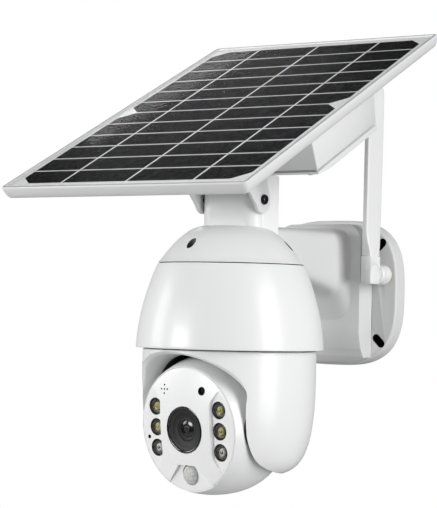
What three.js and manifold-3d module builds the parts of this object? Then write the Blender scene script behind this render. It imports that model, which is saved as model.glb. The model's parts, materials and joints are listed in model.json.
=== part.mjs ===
// A solar-powered pan and tilt security camera on a wall bracket.
// Units are millimetres. +Z is up, +Y points into the wall, and the origin is the
// centre of the wall pad's back face. Each sub-part is one named mesh.
import * as THREE from "three";
import { mergeVertices } from "three/addons/utils/BufferGeometryUtils.js";
import { ParametricGeometry } from "three/addons/geometries/ParametricGeometry.js";
import Module from "manifold-3d";

const wasm = await Module();
wasm.setup();

// ---------------------------------------------------------------- driving sizes

const GAP = 0.3; // clearance left between pieces that touch

// wall plate and its foam pad
const PLATE_WIDTH = 111;
const PLATE_HEIGHT = 109;
const PLATE_DEPTH = 12.7;
const PLATE_POWER = 3; // exponent of the rounded-square outline
const PLATE_WALL = 3;
const PLATE_EDGE = 1.3; // rounding of the front rim
const PAD_THICKNESS = 2;
const PAD_INSET = 2;
const SLOT_X = 41; // centres of the four mounting slots
const SLOT_Z = 35.4;
const SLOT_WIDTH = 6;
const SLOT_LENGTH = 11.5;
const SLOT_BOSS = 4; // material round a slot

// bracket: pillar, arm, cap
const REACH = 157; // wall to the dome's axis
const SEAM_HEIGHT = 16.5; // cap and bell seam above the plate's centre
const PILLAR_WIDTH = 70;
const PILLAR_DEPTH = 20;
const PILLAR_CORNER = 13;
const PILLAR_TOP_DROP = 4; // pillar's top below the plate's top
const PILLAR_TOE = 28; // height of the rounded foot
const PILLAR_WALL = 3;
const ARM_WIDTH = 44;
const CAP_RADIUS = 50.3;
const CAP_HEIGHT = 26.3;
const CAP_FLAT = 19;
const CAP_CURVE = 1.8; // exponent of the cap's shoulder
const CAP_WALL = 2.6;
const CAP_SCREW_RADIUS = 40; // circle of the three cap screws
const CAP_SCREW_TURN = -10.6;
const CAP_SCREW_HEAD = 2.9;

// panel post and tilt hinge
const POST_WIDTH = 44.6;
const POST_FRONT = 8; // post's front face ahead of the dome's axis
const POST_SPLIT = 3; // joint between the post and the rib behind it
const POST_BACK = 27;
const POST_CORNER = 10;
const POST_WALL = 2.6;
const HINGE_Y = -0.65;
const HINGE_HEIGHT = 44.5; // above the seam
const HINGE_BOLT_RADIUS = 2;
const EAR_THICKNESS = 2.5;
const EAR_RADIUS = 12.5;
const RIB_RISE = 18; // top of the rib above the hinge axis

// solar panel
const PANEL_WIDTH = 189;
const PANEL_LENGTH = 289;
const PANEL_DEPTH = 8.8;
const PANEL_TILT = 25.63;
const PANEL_TAPER = 3.1; // how far the frame's sides draw in towards the bottom
const PANEL_BEHIND = 22.35; // panel's centre behind the hinge axis, along the panel
const PANEL_RISE = 60.1; // frame's top face above the hinge axis, square to the panel
const FRAME_LIP = 2.5; // width of the rim round the glass
const GLASS_THICKNESS = 2.6;
const LAMINATE_THICKNESS = 1.2;
const GLASS_RECESS = 0.4;

// battery box under the panel
const BOX_WIDTH = 150;
const BOX_FRONT = -4.6; // along the panel from the hinge axis
const BOX_LENGTH = 98;
const BOX_DEPTH = 29;
const BOX_RAKE = 7.6; // rear wall leans in by this much at the bottom
const BOX_WALL = 2.4;
const LID_FRONT_DEPTH = 1.6;
const LID_REAR_DEPTH = 7.7;
const LID_RAMP = 52.6; // length of the sloping front of the lid
const LID_CHAMFER = 6.6;
const LID_CHAMFER_DEPTH = 4;
const GASKET_THICKNESS = 0.6;
const NECK_FRONT = 14.5; // front of the neck ahead of the hinge axis
const NECK_BOTTOM = 11.5; // neck's lower face above the hinge axis
const CELL_RADIUS = 9.2;
const CELL_LENGTH = 65;
const CELL_COUNT = 4;

// bell housing
const BELL_TOP_RADIUS = 50.6;
const BELL_HEM_RADIUS = 64.5;
const BELL_HEIGHT = 57.7;
const BELL_BOW = 11.3;
const BELL_WALL = 2.3;
const BELL_DECK = 2.4;

// pan drive inside the bell
const BASE_HEIGHT = -44.5; // underside of the fixed chassis plate
const BASE_THICKNESS = 2.5;
const STEM_RADIUS = 14;
const STEM_BORE = 9;
const BEARING_OUTER = 18.5;
const BEARING_HEIGHT = 6;
const PAN_TEETH = 40;
const PAN_PINION_TEETH = 10;
const PAN_MODULE = 1.5;
const GEAR_THICKNESS = 4;
const MESH_CLEARANCE = 0.25; // added to each gear pair's centre distance
const PAN_MOTOR_RADIUS = 13;
const PAN_MOTOR_HEIGHT = 16;

// pan shell
const PAN_RADIUS = 59.7;
const PAN_TOP = -50.5;
const PAN_BOTTOM = -143;
const PAN_DECK = 2.2;
const PAN_WALL = 2.8;
const PAN_REST = -9.76; // pan angle of the stored pose
const ARCH_HALF_WIDTH = 47.6;
const ARCH_HALF_HEIGHT = 31;
const ARCH_CENTRE = -92.2;
const ARCH_FLARE = 5.4; // how much wider the opening's edge is at the skin, either side of its crown
const ARCH_LIFT = 2; // and how much higher, at the crown
const TILT_POCKET = 19; // round pocket inside each cheek
const SWEEP_CLEARANCE = 0.6; // between the head's widest sweep and the shell

// camera head
const HEAD_RADIUS = 48.7;
const HEAD_FORWARD = 7.4; // head's centre ahead of the pan axis
const HEAD_HEIGHT = -108.1;
const HEAD_REST = 6.2; // tilt angle of the stored pose, looking down
const HEAD_WALL = 2.2;
const HEAD_SPLIT = -12; // joint of the two head shells, along the line of sight
const FACE_RADIUS = 42.4;
const FACE_EDGE = 32.9; // face's rim ahead of the head's centre
const FACE_BULGE = 4.6;
const FACE_THICKNESS = 2.6;
const FLAT_AT = 45.5; // side flats of the head, from its centre
const RIDGE_HALF_WIDTH = 23;
const LED_COLUMN = 28.8;
const LED_PITCH = 14.1;
const LED_RADIUS = 6.1;
const HATCH_X = 13; // service cover at the head's lower back
const HATCH_UP = 25;
const HATCH_NEAR = -17;
const HATCH_FAR = -35;
const LENS_RADIUS = 15.9;
const LENS_PROUD = 1.3;
const BARREL_RADIUS = 8.2;
const PIR_DROP = 30;
const PIR_RADIUS = 6.8;
const SENSOR_X = 16.5;
const SENSOR_UP = 27.3;

// tilt drive beside the head
const TILT_TEETH = 20;
const TILT_PINION_TEETH = 10;
const TILT_MODULE = 0.8;
const TILT_GEAR_THICKNESS = 3.2;
const AXLE_RADIUS = 4;
const TILT_MOTOR_RADIUS = 8;
const TILT_MOTOR_LENGTH = 15;

// antenna
const ANTENNA_X = 45.5;
const ANTENNA_Z = 13.5;
const ANTENNA_NUT_RADIUS = 7.3;
const ANTENNA_REACH = 16; // plate's face to the knuckle
const KNUCKLE_LENGTH = 14.4;
const KNUCKLE_WIDTH = 8;
const SHOULDER_RISE = 13.2; // blade's square foot ends here, above the pin
const BLADE_WIDTH = 23;
const BLADE_THICKNESS = 4.4;
const BLADE_TOP = 140; // blade's tip above the knuckle's pin

// ---------------------------------------------------------------- materials

const finish = (color, roughness, metalness = 0) =>
  new THREE.MeshStandardMaterial({ color, roughness, metalness });
const WHITE_SHELL = finish(0xf2f2f2, 0.35);
const WHITE_BRACKET = finish(0xe9e9e9, 0.4);
const WHITE_FRAME = finish(0xeeeeee, 0.32);
const DARK_PLASTIC = finish(0x1a1a1c, 0.45);
const GLOSS_BLACK = finish(0x0a0a0b, 0.12);
const BLACK_SCREW = finish(0x101012, 0.4, 0.7);
const STEEL = finish(0xb8babd, 0.35, 0.9);
const BRASS = finish(0xc9a54f, 0.35, 0.9);
const FOAM = finish(0x3a3a3d, 0.95);
const RUBBER = finish(0x202022, 0.85);
const CELLS = finish(0x0c0d10, 0.3);
const GLASS = finish(0x9fa8ad, 0.08);
const BOARD = finish(0x1f5a34, 0.55);
const CELL_WRAP = finish(0x2f7fb5, 0.4);
const GEAR_WHITE = finish(0xdedbd0, 0.5);
const LED_YELLOW = finish(0xd8cf6a, 0.3);
const LED_CLEAR = finish(0xc9ccd0, 0.2);
const PIR_FROST = finish(0xe4e4e2, 0.55);
const BUTTON_GREY = finish(0x8a8c90, 0.6);

// ---------------------------------------------------------------- shape helpers

const rad = THREE.MathUtils.degToRad;

function signedVolume(position, index) {
  let sum = 0;
  const a = new THREE.Vector3();
  const b = new THREE.Vector3();
  const c = new THREE.Vector3();
  for (let i = 0; i < index.length; i += 3) {
    a.fromBufferAttribute(position, index[i]);
    b.fromBufferAttribute(position, index[i + 1]);
    c.fromBufferAttribute(position, index[i + 2]);
    sum += a.dot(b.cross(c));
  }
  return sum / 6;
}

// A closed geometry as a solid that can be joined and cut, with its faces pointing out.
function solid(geometry) {
  const bare = geometry.index ? geometry.toNonIndexed() : geometry.clone();
  bare.deleteAttribute("normal");
  bare.deleteAttribute("uv");
  const merged = mergeVertices(bare, 1e-3);
  const index = [];
  for (let i = 0; i < merged.index.count; i += 3) {
    const [a, b, c] = [0, 1, 2].map((k) => merged.index.getX(i + k));
    if (a !== b && b !== c && c !== a) index.push(a, b, c);
  }
  const outward = signedVolume(merged.attributes.position, index) > 0;
  const triVerts = new Uint32Array(outward ? index : index.reverse());
  const vertProperties = merged.attributes.position.array;
  return new wasm.Manifold(new wasm.Mesh({ numProp: 3, vertProperties, triVerts }));
}

const union = (...solids) => solids.reduce((sum, next) => sum.add(next));
const cut = (from, ...tools) => tools.reduce((left, tool) => left.subtract(tool), from);

function toGeometry(manifold) {
  const mesh = manifold.getMesh();
  const geometry = new THREE.BufferGeometry();
  geometry.setAttribute("position", new THREE.BufferAttribute(mesh.vertProperties, 3));
  geometry.setIndex(new THREE.BufferAttribute(mesh.triVerts, 1));
  return geometry;
}

function add(group, name, shape, material) {
  const geometry = shape.isBufferGeometry ? toGeometry(solid(shape)) : toGeometry(shape);
  const mesh = new THREE.Mesh(geometry, material);
  mesh.name = name;
  group.add(mesh);
  return mesh;
}

// Turned shape about Z from [radius, height] points.
function turned(points, segments = 28) {
  const profile = points.map(([r, z]) => new THREE.Vector2(r, z));
  return new THREE.LatheGeometry(profile, segments).rotateX(Math.PI / 2);
}

function rod(radius, low, high, segments = 16) {
  return turned([[0, low], [radius, low], [radius, high], [0, high]], segments);
}

function ring(outer, inner, low, high, segments = 28) {
  return turned([[inner, low], [outer, low], [outer, high], [inner, high], [inner, low]], segments);
}

// The same shapes with their axis along X or Y.
const alongX = (geometry) => geometry.rotateY(Math.PI / 2);
const alongY = (geometry) => geometry.rotateX(-Math.PI / 2);

function block(x0, x1, y0, y1, z0, z1) {
  const box = new THREE.BoxGeometry(x1 - x0, y1 - y0, z1 - z0);
  return box.translate((x0 + x1) / 2, (y0 + y1) / 2, (z0 + z1) / 2);
}

function shapeOf(points) {
  return new THREE.Shape(points.map(([x, y]) => new THREE.Vector2(x, y)));
}

// Outline in XY pushed up from one height to another.
function raised(shape, low, high, curveSegments = 12) {
  const options = { depth: high - low, bevelEnabled: false, curveSegments };
  return new THREE.ExtrudeGeometry(shape, options).translate(0, 0, low);
}

// Outline in XZ pushed along Y, and outline in YZ pushed along X.
const acrossY = (shape, y0, y1, curveSegments) =>
  raised(shape, -y1, -y0, curveSegments).rotateX(Math.PI / 2);
const acrossX = (shape, x0, x1, curveSegments) =>
  raised(shape, x0, x1, curveSegments).rotateZ(Math.PI / 2).rotateY(Math.PI / 2);

function roundedRect(x0, x1, y0, y1, corner) {
  const s = new THREE.Shape();
  s.moveTo(x0 + corner, y0);
  s.lineTo(x1 - corner, y0);
  s.absarc(x1 - corner, y0 + corner, corner, -Math.PI / 2, 0);
  s.lineTo(x1, y1 - corner);
  s.absarc(x1 - corner, y1 - corner, corner, 0, Math.PI / 2);
  s.lineTo(x0 + corner, y1);
  s.absarc(x0 + corner, y1 - corner, corner, Math.PI / 2, Math.PI);
  s.lineTo(x0, y0 + corner);
  s.absarc(x0 + corner, y0 + corner, corner, Math.PI, 1.5 * Math.PI);
  return s;
}

function ovalPoint(angle, halfWidth, halfHeight, power) {
  const reach = (value, half) => Math.sign(value) * half * Math.abs(value) ** (2 / power);
  return [reach(Math.cos(angle), halfWidth), reach(Math.sin(angle), halfHeight)];
}

function ovalShape(halfWidth, halfHeight, power, segments = 36) {
  const points = [];
  for (let i = 0; i < segments; i++) {
    points.push(ovalPoint((2 * Math.PI * i) / segments, halfWidth, halfHeight, power));
  }
  return shapeOf(points);
}

// Closed skin through a list of rings. pointOn(row, angle) gives a point of a ring,
// and the first and last rings are closed by flat caps.
function loft(rowCount, columns, pointOn) {
  const centre = (row) => {
    const middle = new THREE.Vector3();
    for (let i = 0; i < columns; i++) middle.add(pointOn(row, (2 * Math.PI * i) / columns));
    return middle.divideScalar(columns);
  };
  const ends = [centre(0), centre(rowCount - 1)];
  const surface = (u, v, target) => {
    const row = Math.round(v * (rowCount + 1)) - 1;
    const column = Math.round(u * columns) % columns;
    if (row < 0) target.copy(ends[0]);
    else if (row >= rowCount) target.copy(ends[1]);
    else target.copy(pointOn(row, (2 * Math.PI * column) / columns));
  };
  return new ParametricGeometry(surface, columns, rowCount + 1);
}

// Spur gear outline, with thin teeth so that a pair runs with backlash.
function gearShape(teeth, module, turn = 0) {
  const pitch = (teeth * module) / 2;
  const root = pitch - 1.15 * module;
  const tip = pitch + 0.85 * module;
  const step = (2 * Math.PI) / teeth;
  const points = [];
  for (let i = 0; i < teeth; i++) {
    const middle = i * step + turn;
    const corners = [[root, -0.3], [tip, -0.13], [tip, 0.13], [root, 0.3]];
    corners.forEach(([r, share]) => {
      const angle = middle + share * step;
      points.push([r * Math.cos(angle), r * Math.sin(angle)]);
    });
  }
  return shapeOf(points);
}

// ---------------------------------------------------------------- groups

const camera = new THREE.Group();
const dome = new THREE.Group();
dome.position.set(0, -REACH, SEAM_HEIGHT);
const panel = new THREE.Group();
panel.position.set(0, HINGE_Y, HINGE_HEIGHT);
panel.rotation.x = rad(PANEL_TILT);
const pan = new THREE.Group();
pan.rotation.z = rad(PAN_REST);
const head = new THREE.Group();
head.position.set(0, -HEAD_FORWARD, HEAD_HEIGHT);
head.rotation.x = rad(HEAD_REST);
const face = new THREE.Group(); // +Z is the line of sight here, and +Y is up
face.rotation.x = Math.PI / 2;
const antenna = new THREE.Group();
const PLATE_BACK = -(PAD_THICKNESS + GAP);
const PLATE_FRONT = PLATE_BACK - PLATE_DEPTH;
antenna.position.set(ANTENNA_X, PLATE_FRONT, ANTENNA_Z);
camera.add(dome, antenna);
dome.add(panel, pan);
pan.add(head);
head.add(face);

// ---------------------------------------------------------------- wall plate and pad

const plateHalfWidth = PLATE_WIDTH / 2;
const plateHalfHeight = PLATE_HEIGHT / 2;

function slotCutter(width, length, y0, y1, sideX, sideZ) {
  const half = length / 2;
  const outline = roundedRect(-half, half, -width / 2, width / 2, width / 2 - 0.01);
  const slot = acrossY(outline, y0, y1, 3);
  slot.rotateY(-Math.atan2(sideZ, sideX));
  return solid(slot.translate(sideX * SLOT_X, 0, sideZ * SLOT_Z));
}

const CORNERS = [[-1, -1], [-1, 1], [1, -1], [1, 1]];
const ARM_SCREW_X = 24;
const ARM_SCREW_Z = 30;

function buildWallPlate() {
  const rows = [
    [PLATE_BACK, 0],
    [PLATE_FRONT + PLATE_EDGE, 0.5],
    [PLATE_FRONT + PLATE_EDGE * 0.3, 0.5 + PLATE_EDGE * 0.3],
    [PLATE_FRONT, 0.5 + PLATE_EDGE],
  ];
  const body = loft(rows.length, 36, (row, angle) => {
    const [y, inset] = rows[row];
    const [x, z] = ovalPoint(angle, plateHalfWidth - inset, plateHalfHeight - inset, PLATE_POWER);
    return new THREE.Vector3(x, y, z);
  });
  const inside = ovalShape(plateHalfWidth - PLATE_WALL, plateHalfHeight - PLATE_WALL, PLATE_POWER);
  let pocket = solid(acrossY(inside, PLATE_FRONT + PLATE_WALL, 1));
  const bossWidth = SLOT_WIDTH + 2 * SLOT_BOSS;
  const bossLength = SLOT_LENGTH + 2 * SLOT_BOSS;
  CORNERS.forEach(([x, z]) => {
    pocket = cut(pocket, slotCutter(bossWidth, bossLength, PLATE_FRONT, 2, x, z));
  });
  const ribs = union(
    solid(block(-1.25, 1.25, PLATE_FRONT, 2, -plateHalfHeight, plateHalfHeight)),
    solid(block(-plateHalfWidth, plateHalfWidth, PLATE_FRONT, 2, -1.25, 1.25)),
  );
  let plate = cut(solid(body), cut(pocket, ribs));
  CORNERS.forEach(([x, z]) => {
    const screwHole = alongY(rod(2, PLATE_FRONT - 1, 1, 8));
    plate = cut(
      plate,
      slotCutter(SLOT_WIDTH, SLOT_LENGTH, PLATE_FRONT - 1, 1, x, z),
      solid(screwHole.translate(x * ARM_SCREW_X, 0, z * ARM_SCREW_Z)),
    );
  });
  const socketHole = alongY(rod(3.6, PLATE_FRONT - 1, 1, 16));
  plate = cut(plate, solid(socketHole.translate(ANTENNA_X, 0, ANTENNA_Z)));
  add(camera, "wall_plate", plate, WHITE_BRACKET);
}

function buildWallPad() {
  const outline = ovalShape(plateHalfWidth - PAD_INSET, plateHalfHeight - PAD_INSET, PLATE_POWER);
  let pad = solid(acrossY(outline, -PAD_THICKNESS, 0));
  CORNERS.forEach(([x, z]) => {
    pad = cut(pad, slotCutter(SLOT_WIDTH + 1, SLOT_LENGTH + 1, -PAD_THICKNESS - 1, 1, x, z));
  });
  add(camera, "wall_pad", pad, FOAM);
}

// ---------------------------------------------------------------- bracket arm and cap

// Cap radius to height, measured from the seam.
const capHeightAt = (r) =>
  CAP_HEIGHT * (1 - (Math.max(r - CAP_FLAT, 0) / (CAP_RADIUS - CAP_FLAT)) ** CAP_CURVE);

function capProfile(shrink, floor) {
  const points = [[0, floor], [CAP_RADIUS - shrink, floor]];
  const steps = 5;
  for (let i = 0; i <= steps; i++) {
    const r = CAP_RADIUS - ((CAP_RADIUS - CAP_FLAT) * i) / steps;
    const height = capHeightAt(r) - shrink;
    if (height > floor) points.push([r - shrink, height]);
  }
  points.push([0, CAP_HEIGHT - shrink]);
  return points;
}

const armTop = SEAM_HEIGHT + CAP_HEIGHT + 2.2;
const armRoot = -PLATE_FRONT + PILLAR_DEPTH - 1; // distance out from the wall

// Stations of the arm from the pillar to the dome: share of the arm's run, extra half
// width, rise of the top and drop of the underside below the arm's top.
const ARM_STATIONS = [
  [0, 7.5, 3.3, 72],
  [0.012, 4.5, 2.2, 63],
  [0.033, 2.5, 1.2, 55],
  [0.066, 0.6, 0.4, 46],
  [0.13, 0.1, 0, 44],
  [0.21, 0, 0, 42],
  [0.42, 0, 0, 37],
  [0.58, 0, -0.5, 27.5],
  [0.75, -0.5, -1, 25],
  [0.93, -1.5, -1.6, 24.5],
];

function armLoft(grow) {
  return loft(ARM_STATIONS.length, 20, (row, angle) => {
    const [share, extra, rise, drop] = ARM_STATIONS[row];
    const half = ARM_WIDTH / 2 + extra + grow;
    const top = armTop + rise + grow;
    const under = armTop - drop - grow;
    const [x, z] = ovalPoint(angle, half, (top - under) / 2, 5);
    return new THREE.Vector3(x, -armRoot - share * (REACH - armRoot), (top + under) / 2 + z);
  });
}

function buildBracketArm() {
  const back = PLATE_FRONT - GAP;
  const front = PLATE_FRONT - PILLAR_DEPTH;
  const top = plateHalfHeight - PILLAR_TOP_DROP;
  const bottom = -plateHalfHeight + 1;
  const half = PILLAR_WIDTH / 2;
  const side = new THREE.Shape();
  side.moveTo(back, bottom);
  side.lineTo(back, top);
  side.lineTo(front + 4, top);
  side.quadraticCurveTo(front, top, front, top - 5);
  side.lineTo(front, bottom + PILLAR_TOE);
  side.absellipse(back, bottom + PILLAR_TOE, back - front, PILLAR_TOE, Math.PI, 1.5 * Math.PI);
  const outline = roundedRect(-half, half, -plateHalfHeight - PILLAR_CORNER, top, PILLAR_CORNER);
  const trim = ovalShape(plateHalfWidth - 1.5, plateHalfHeight - 1.2, PLATE_POWER);
  const pillar = solid(acrossX(side, -half, half, 6))
    .intersect(solid(acrossY(outline, front - 1, back, 8)))
    .intersect(solid(acrossY(trim, front - 1, back)));
  const cap = turned(capProfile(0, GAP), 44).translate(0, -REACH, SEAM_HEIGHT);
  const rib = solid(raised(ribShape(0), SEAM_HEIGHT + 18, SEAM_HEIGHT + HINGE_HEIGHT + RIB_RISE, 4)
    .translate(0, -REACH, 0));
  const outer = union(pillar, solid(armLoft(0)), solid(cap), rib);

  const capInside = turned(capProfile(CAP_WALL, -1), 24).translate(0, -REACH, SEAM_HEIGHT);
  const tunnel = block(
    -ARM_WIDTH / 2 + 5, ARM_WIDTH / 2 - 5, -REACH + 20, front + PILLAR_WALL + 1,
    armTop - 18, armTop - 4.5,
  );
  const pocket = solid(block(
    -half + PILLAR_WALL, half - PILLAR_WALL, front + PILLAR_WALL, back + 1,
    bottom + PILLAR_TOE * 0.6, top - PILLAR_CORNER * 0.5,
  ));
  const bosses = CORNERS.map(([x, z]) =>
    solid(alongY(rod(4.5, front, back, 8)).translate(x * ARM_SCREW_X, 0, z * ARM_SCREW_Z)));
  const ribInside = solid(block(
    -POST_WIDTH / 2 + POST_WALL, POST_WIDTH / 2 - POST_WALL,
    -REACH + POST_SPLIT - 1, -REACH + POST_BACK - POST_WALL,
    SEAM_HEIGHT + CAP_HEIGHT + 4, SEAM_HEIGHT + HINGE_HEIGHT + RIB_RISE - POST_WALL,
  ));
  const wireHole = solid(rod(7, 0, SEAM_HEIGHT + CAP_HEIGHT + 10, 16).translate(0, -REACH, 0));
  let bracket = cut(outer, solid(capInside), solid(tunnel), cut(pocket, ...bosses), ribInside);
  bracket = cut(bracket, wireHole);
  CORNERS.forEach(([x, z]) => {
    const hole = alongY(rod(1.6, front + PILLAR_WALL, back + 1, 8));
    bracket = cut(bracket, solid(hole.translate(x * ARM_SCREW_X, 0, z * ARM_SCREW_Z)));
  });
  forEachCapScrew((x, y, base) => {
    const well = rod(CAP_SCREW_HEAD + GAP, base, CAP_HEIGHT + 5, 12).translate(x, y, 0);
    const through = rod(1.8, -1, base + 1, 8).translate(x, y, 0);
    const place = (shape) => solid(shape.translate(0, -REACH, SEAM_HEIGHT));
    bracket = cut(bracket, place(well), place(through));
  });
  add(camera, "bracket_arm", bracket, WHITE_BRACKET);
}

// Plan of the rib behind the post, about the dome's axis.
function ribShape(grow) {
  const half = POST_WIDTH / 2 + grow;
  return roundedRect(-half, half, POST_SPLIT - grow, POST_BACK + grow, 3);
}

function forEachCapScrew(visit) {
  [0, 1, 2].forEach((i) => {
    const angle = rad(-90 + CAP_SCREW_TURN + (360 / 3) * i);
    const x = CAP_SCREW_RADIUS * Math.cos(angle);
    const y = CAP_SCREW_RADIUS * Math.sin(angle);
    visit(x, y, capHeightAt(CAP_SCREW_RADIUS) - 5, i);
  });
}

function screw(headRadius, headHeight, shankRadius, shankLength) {
  return turned([
    [0, -shankLength],
    [shankRadius, -shankLength],
    [shankRadius, 0],
    [headRadius, 0],
    [headRadius, headHeight * 0.45],
    [headRadius * 0.8, headHeight * 0.85],
    [headRadius * 0.35, headHeight],
    [0, headHeight],
  ], 12);
}

function buildCapScrews() {
  forEachCapScrew((x, y, base, i) => {
    const fastener = screw(CAP_SCREW_HEAD, 2, 1.4, base - GAP - 1);
    add(dome, "cap_screw_" + (i + 1), fastener.translate(x, y, base + GAP), BLACK_SCREW);
  });
}

// ---------------------------------------------------------------- panel post and hinge

function buildPost() {
  const half = POST_WIDTH / 2;
  const plan = new THREE.Shape();
  plan.moveTo(half, POST_SPLIT - GAP);
  plan.lineTo(-half, POST_SPLIT - GAP);
  plan.lineTo(-half, -POST_FRONT + POST_CORNER);
  plan.absarc(-half + POST_CORNER, -POST_FRONT + POST_CORNER, POST_CORNER, Math.PI, 1.5 * Math.PI);
  plan.absarc(half - POST_CORNER, -POST_FRONT + POST_CORNER, POST_CORNER, -Math.PI / 2, 0);
  const top = HINGE_HEIGHT + 9.5;
  const floor = CAP_HEIGHT + 3;
  let post = solid(raised(plan, 14, top, 8));
  post = cut(post, solid(turned(capProfile(-GAP, -5), 44)));
  const inside = block(
    -half + POST_WALL, half - POST_WALL, -POST_FRONT + POST_WALL, POST_SPLIT + 1,
    floor, top - POST_WALL,
  );
  post = cut(post, solid(inside), solid(rod(7, 0, floor + 1, 16)));
  const arm = armLoft(GAP).translate(0, REACH, -SEAM_HEIGHT);
  const bolt = alongX(rod(HINGE_BOLT_RADIUS + GAP, -half - 1, half + 1, 12));
  post = cut(post, solid(arm), solid(bolt.translate(0, HINGE_Y, HINGE_HEIGHT)));
  add(dome, "panel_post", post, WHITE_BRACKET);
}

const earInside = POST_WIDTH / 2 + GAP;
const earOutside = earInside + EAR_THICKNESS;

function buildHingeFasteners() {
  [["left", -1], ["right", 1]].forEach(([name, side]) => {
    const reach = EAR_THICKNESS + POST_WALL + GAP + 4;
    const bolt = screw(3.5, 2.7, HINGE_BOLT_RADIUS, reach);
    bolt.rotateY((side * Math.PI) / 2).translate(side * (earOutside + GAP), HINGE_Y, HINGE_HEIGHT);
    add(dome, "hinge_bolt_" + name, bolt, BLACK_SCREW);
    const nut = raised(ovalShape(3.6, 3.6, 2, 6), 0, 2.4);
    const bored = cut(solid(nut), solid(rod(HINGE_BOLT_RADIUS + 0.15, -1, 4, 12)));
    const inner = side * (POST_WIDTH / 2 - POST_WALL - GAP - 2.4);
    const placed = toGeometry(bored).rotateY((side * Math.PI) / 2);
    add(dome, "hinge_nut_" + name, placed.translate(inner, HINGE_Y, HINGE_HEIGHT), STEEL);
  });
}

// ---------------------------------------------------------------- solar panel

const frameTop = PANEL_RISE;
const frameBottom = frameTop - PANEL_DEPTH;
const glassTop = frameTop - GLASS_RECESS;
const panelHalfWidth = PANEL_WIDTH / 2;
const panelHalfLength = PANEL_LENGTH / 2;

function panelRect(inset, corner) {
  const half = panelHalfWidth - inset;
  const length = panelHalfLength - inset;
  return roundedRect(-half, half, PANEL_BEHIND - length, PANEL_BEHIND + length, corner);
}

function buildPanel() {
  const rows = [
    [frameTop, 0.9],
    [frameTop - 0.9, 0],
    [frameTop - PANEL_DEPTH * 0.45, PANEL_TAPER * 0.3],
    [frameBottom + 1, PANEL_TAPER * 0.85],
    [frameBottom, PANEL_TAPER],
  ];
  const frame = loft(rows.length, 20, (row, angle) => {
    const [z, inset] = rows[row];
    const [x, y] = ovalPoint(angle, panelHalfWidth - inset, panelHalfLength - inset, 40);
    return new THREE.Vector3(x, PANEL_BEHIND + y, z);
  });
  const seat = glassTop - GLASS_THICKNESS - LAMINATE_THICKNESS - 2 * GAP;
  const pocket = solid(raised(panelRect(FRAME_LIP - GAP, 2), seat, frameTop + 1, 4));
  const hollow = solid(raised(panelRect(FRAME_LIP + 6, 2), frameBottom - 1, seat - 1.6, 4));
  const backing = block(
    -BOX_WIDTH / 2, BOX_WIDTH / 2, -NECK_FRONT, BOX_FRONT + BOX_LENGTH, frameBottom, seat,
  );
  const tray = cut(solid(frame), pocket, cut(hollow, solid(backing)));
  add(panel, "panel_frame", tray, WHITE_FRAME);
  const sheet = panelRect(FRAME_LIP, 1.5);
  const glassBottom = glassTop - GLASS_THICKNESS;
  add(panel, "panel_glass", raised(sheet, glassBottom, glassTop, 3), GLASS);
  const laminateTop = glassBottom - GAP;
  const laminate = raised(sheet, laminateTop - LAMINATE_THICKNESS, laminateTop, 3);
  add(panel, "cell_laminate", laminate, CELLS);
}

// ---------------------------------------------------------------- battery box

const boxTop = frameBottom - GAP;
const boxBottom = boxTop - BOX_DEPTH;
const boxBack = BOX_FRONT + BOX_LENGTH;
const BOX_SCREW_INSET = 7;

// Side outline of the box in YZ, drawn in by a wall thickness.
function boxSide(wall, top, bottom) {
  return shapeOf([
    [BOX_FRONT + wall, bottom],
    [boxBack - BOX_RAKE - wall, bottom],
    [boxBack - wall, top],
    [BOX_FRONT + wall, top],
  ]);
}

function forEachLidCorner(visit) {
  CORNERS.forEach(([x, y], i) => {
    const middle = (BOX_FRONT + boxBack - BOX_RAKE) / 2;
    const reach = (boxBack - BOX_RAKE - BOX_FRONT) / 2 - BOX_SCREW_INSET;
    visit(x * (BOX_WIDTH / 2 - BOX_SCREW_INSET), middle + y * reach, i);
  });
}

function buildBatteryBox() {
  const half = BOX_WIDTH / 2;
  const outer = solid(acrossX(boxSide(0, boxTop, boxBottom), -half, half));
  const inner = solid(acrossX(boxSide(BOX_WALL, boxTop - BOX_WALL, boxBottom - 1),
    -half + BOX_WALL, half - BOX_WALL));
  const bosses = [];
  forEachLidCorner((x, y) => bosses.push(solid(rod(4.2, boxBottom - 1, boxTop, 12)
    .translate(x, y, 0))));
  let box = cut(outer, cut(inner, ...bosses));
  forEachLidCorner((x, y) => {
    box = cut(box, solid(rod(1.5, boxBottom - 1, boxBottom + 12, 8).translate(x, y, 0)));
  });
  add(panel, "battery_box", box, WHITE_FRAME);
}

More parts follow.
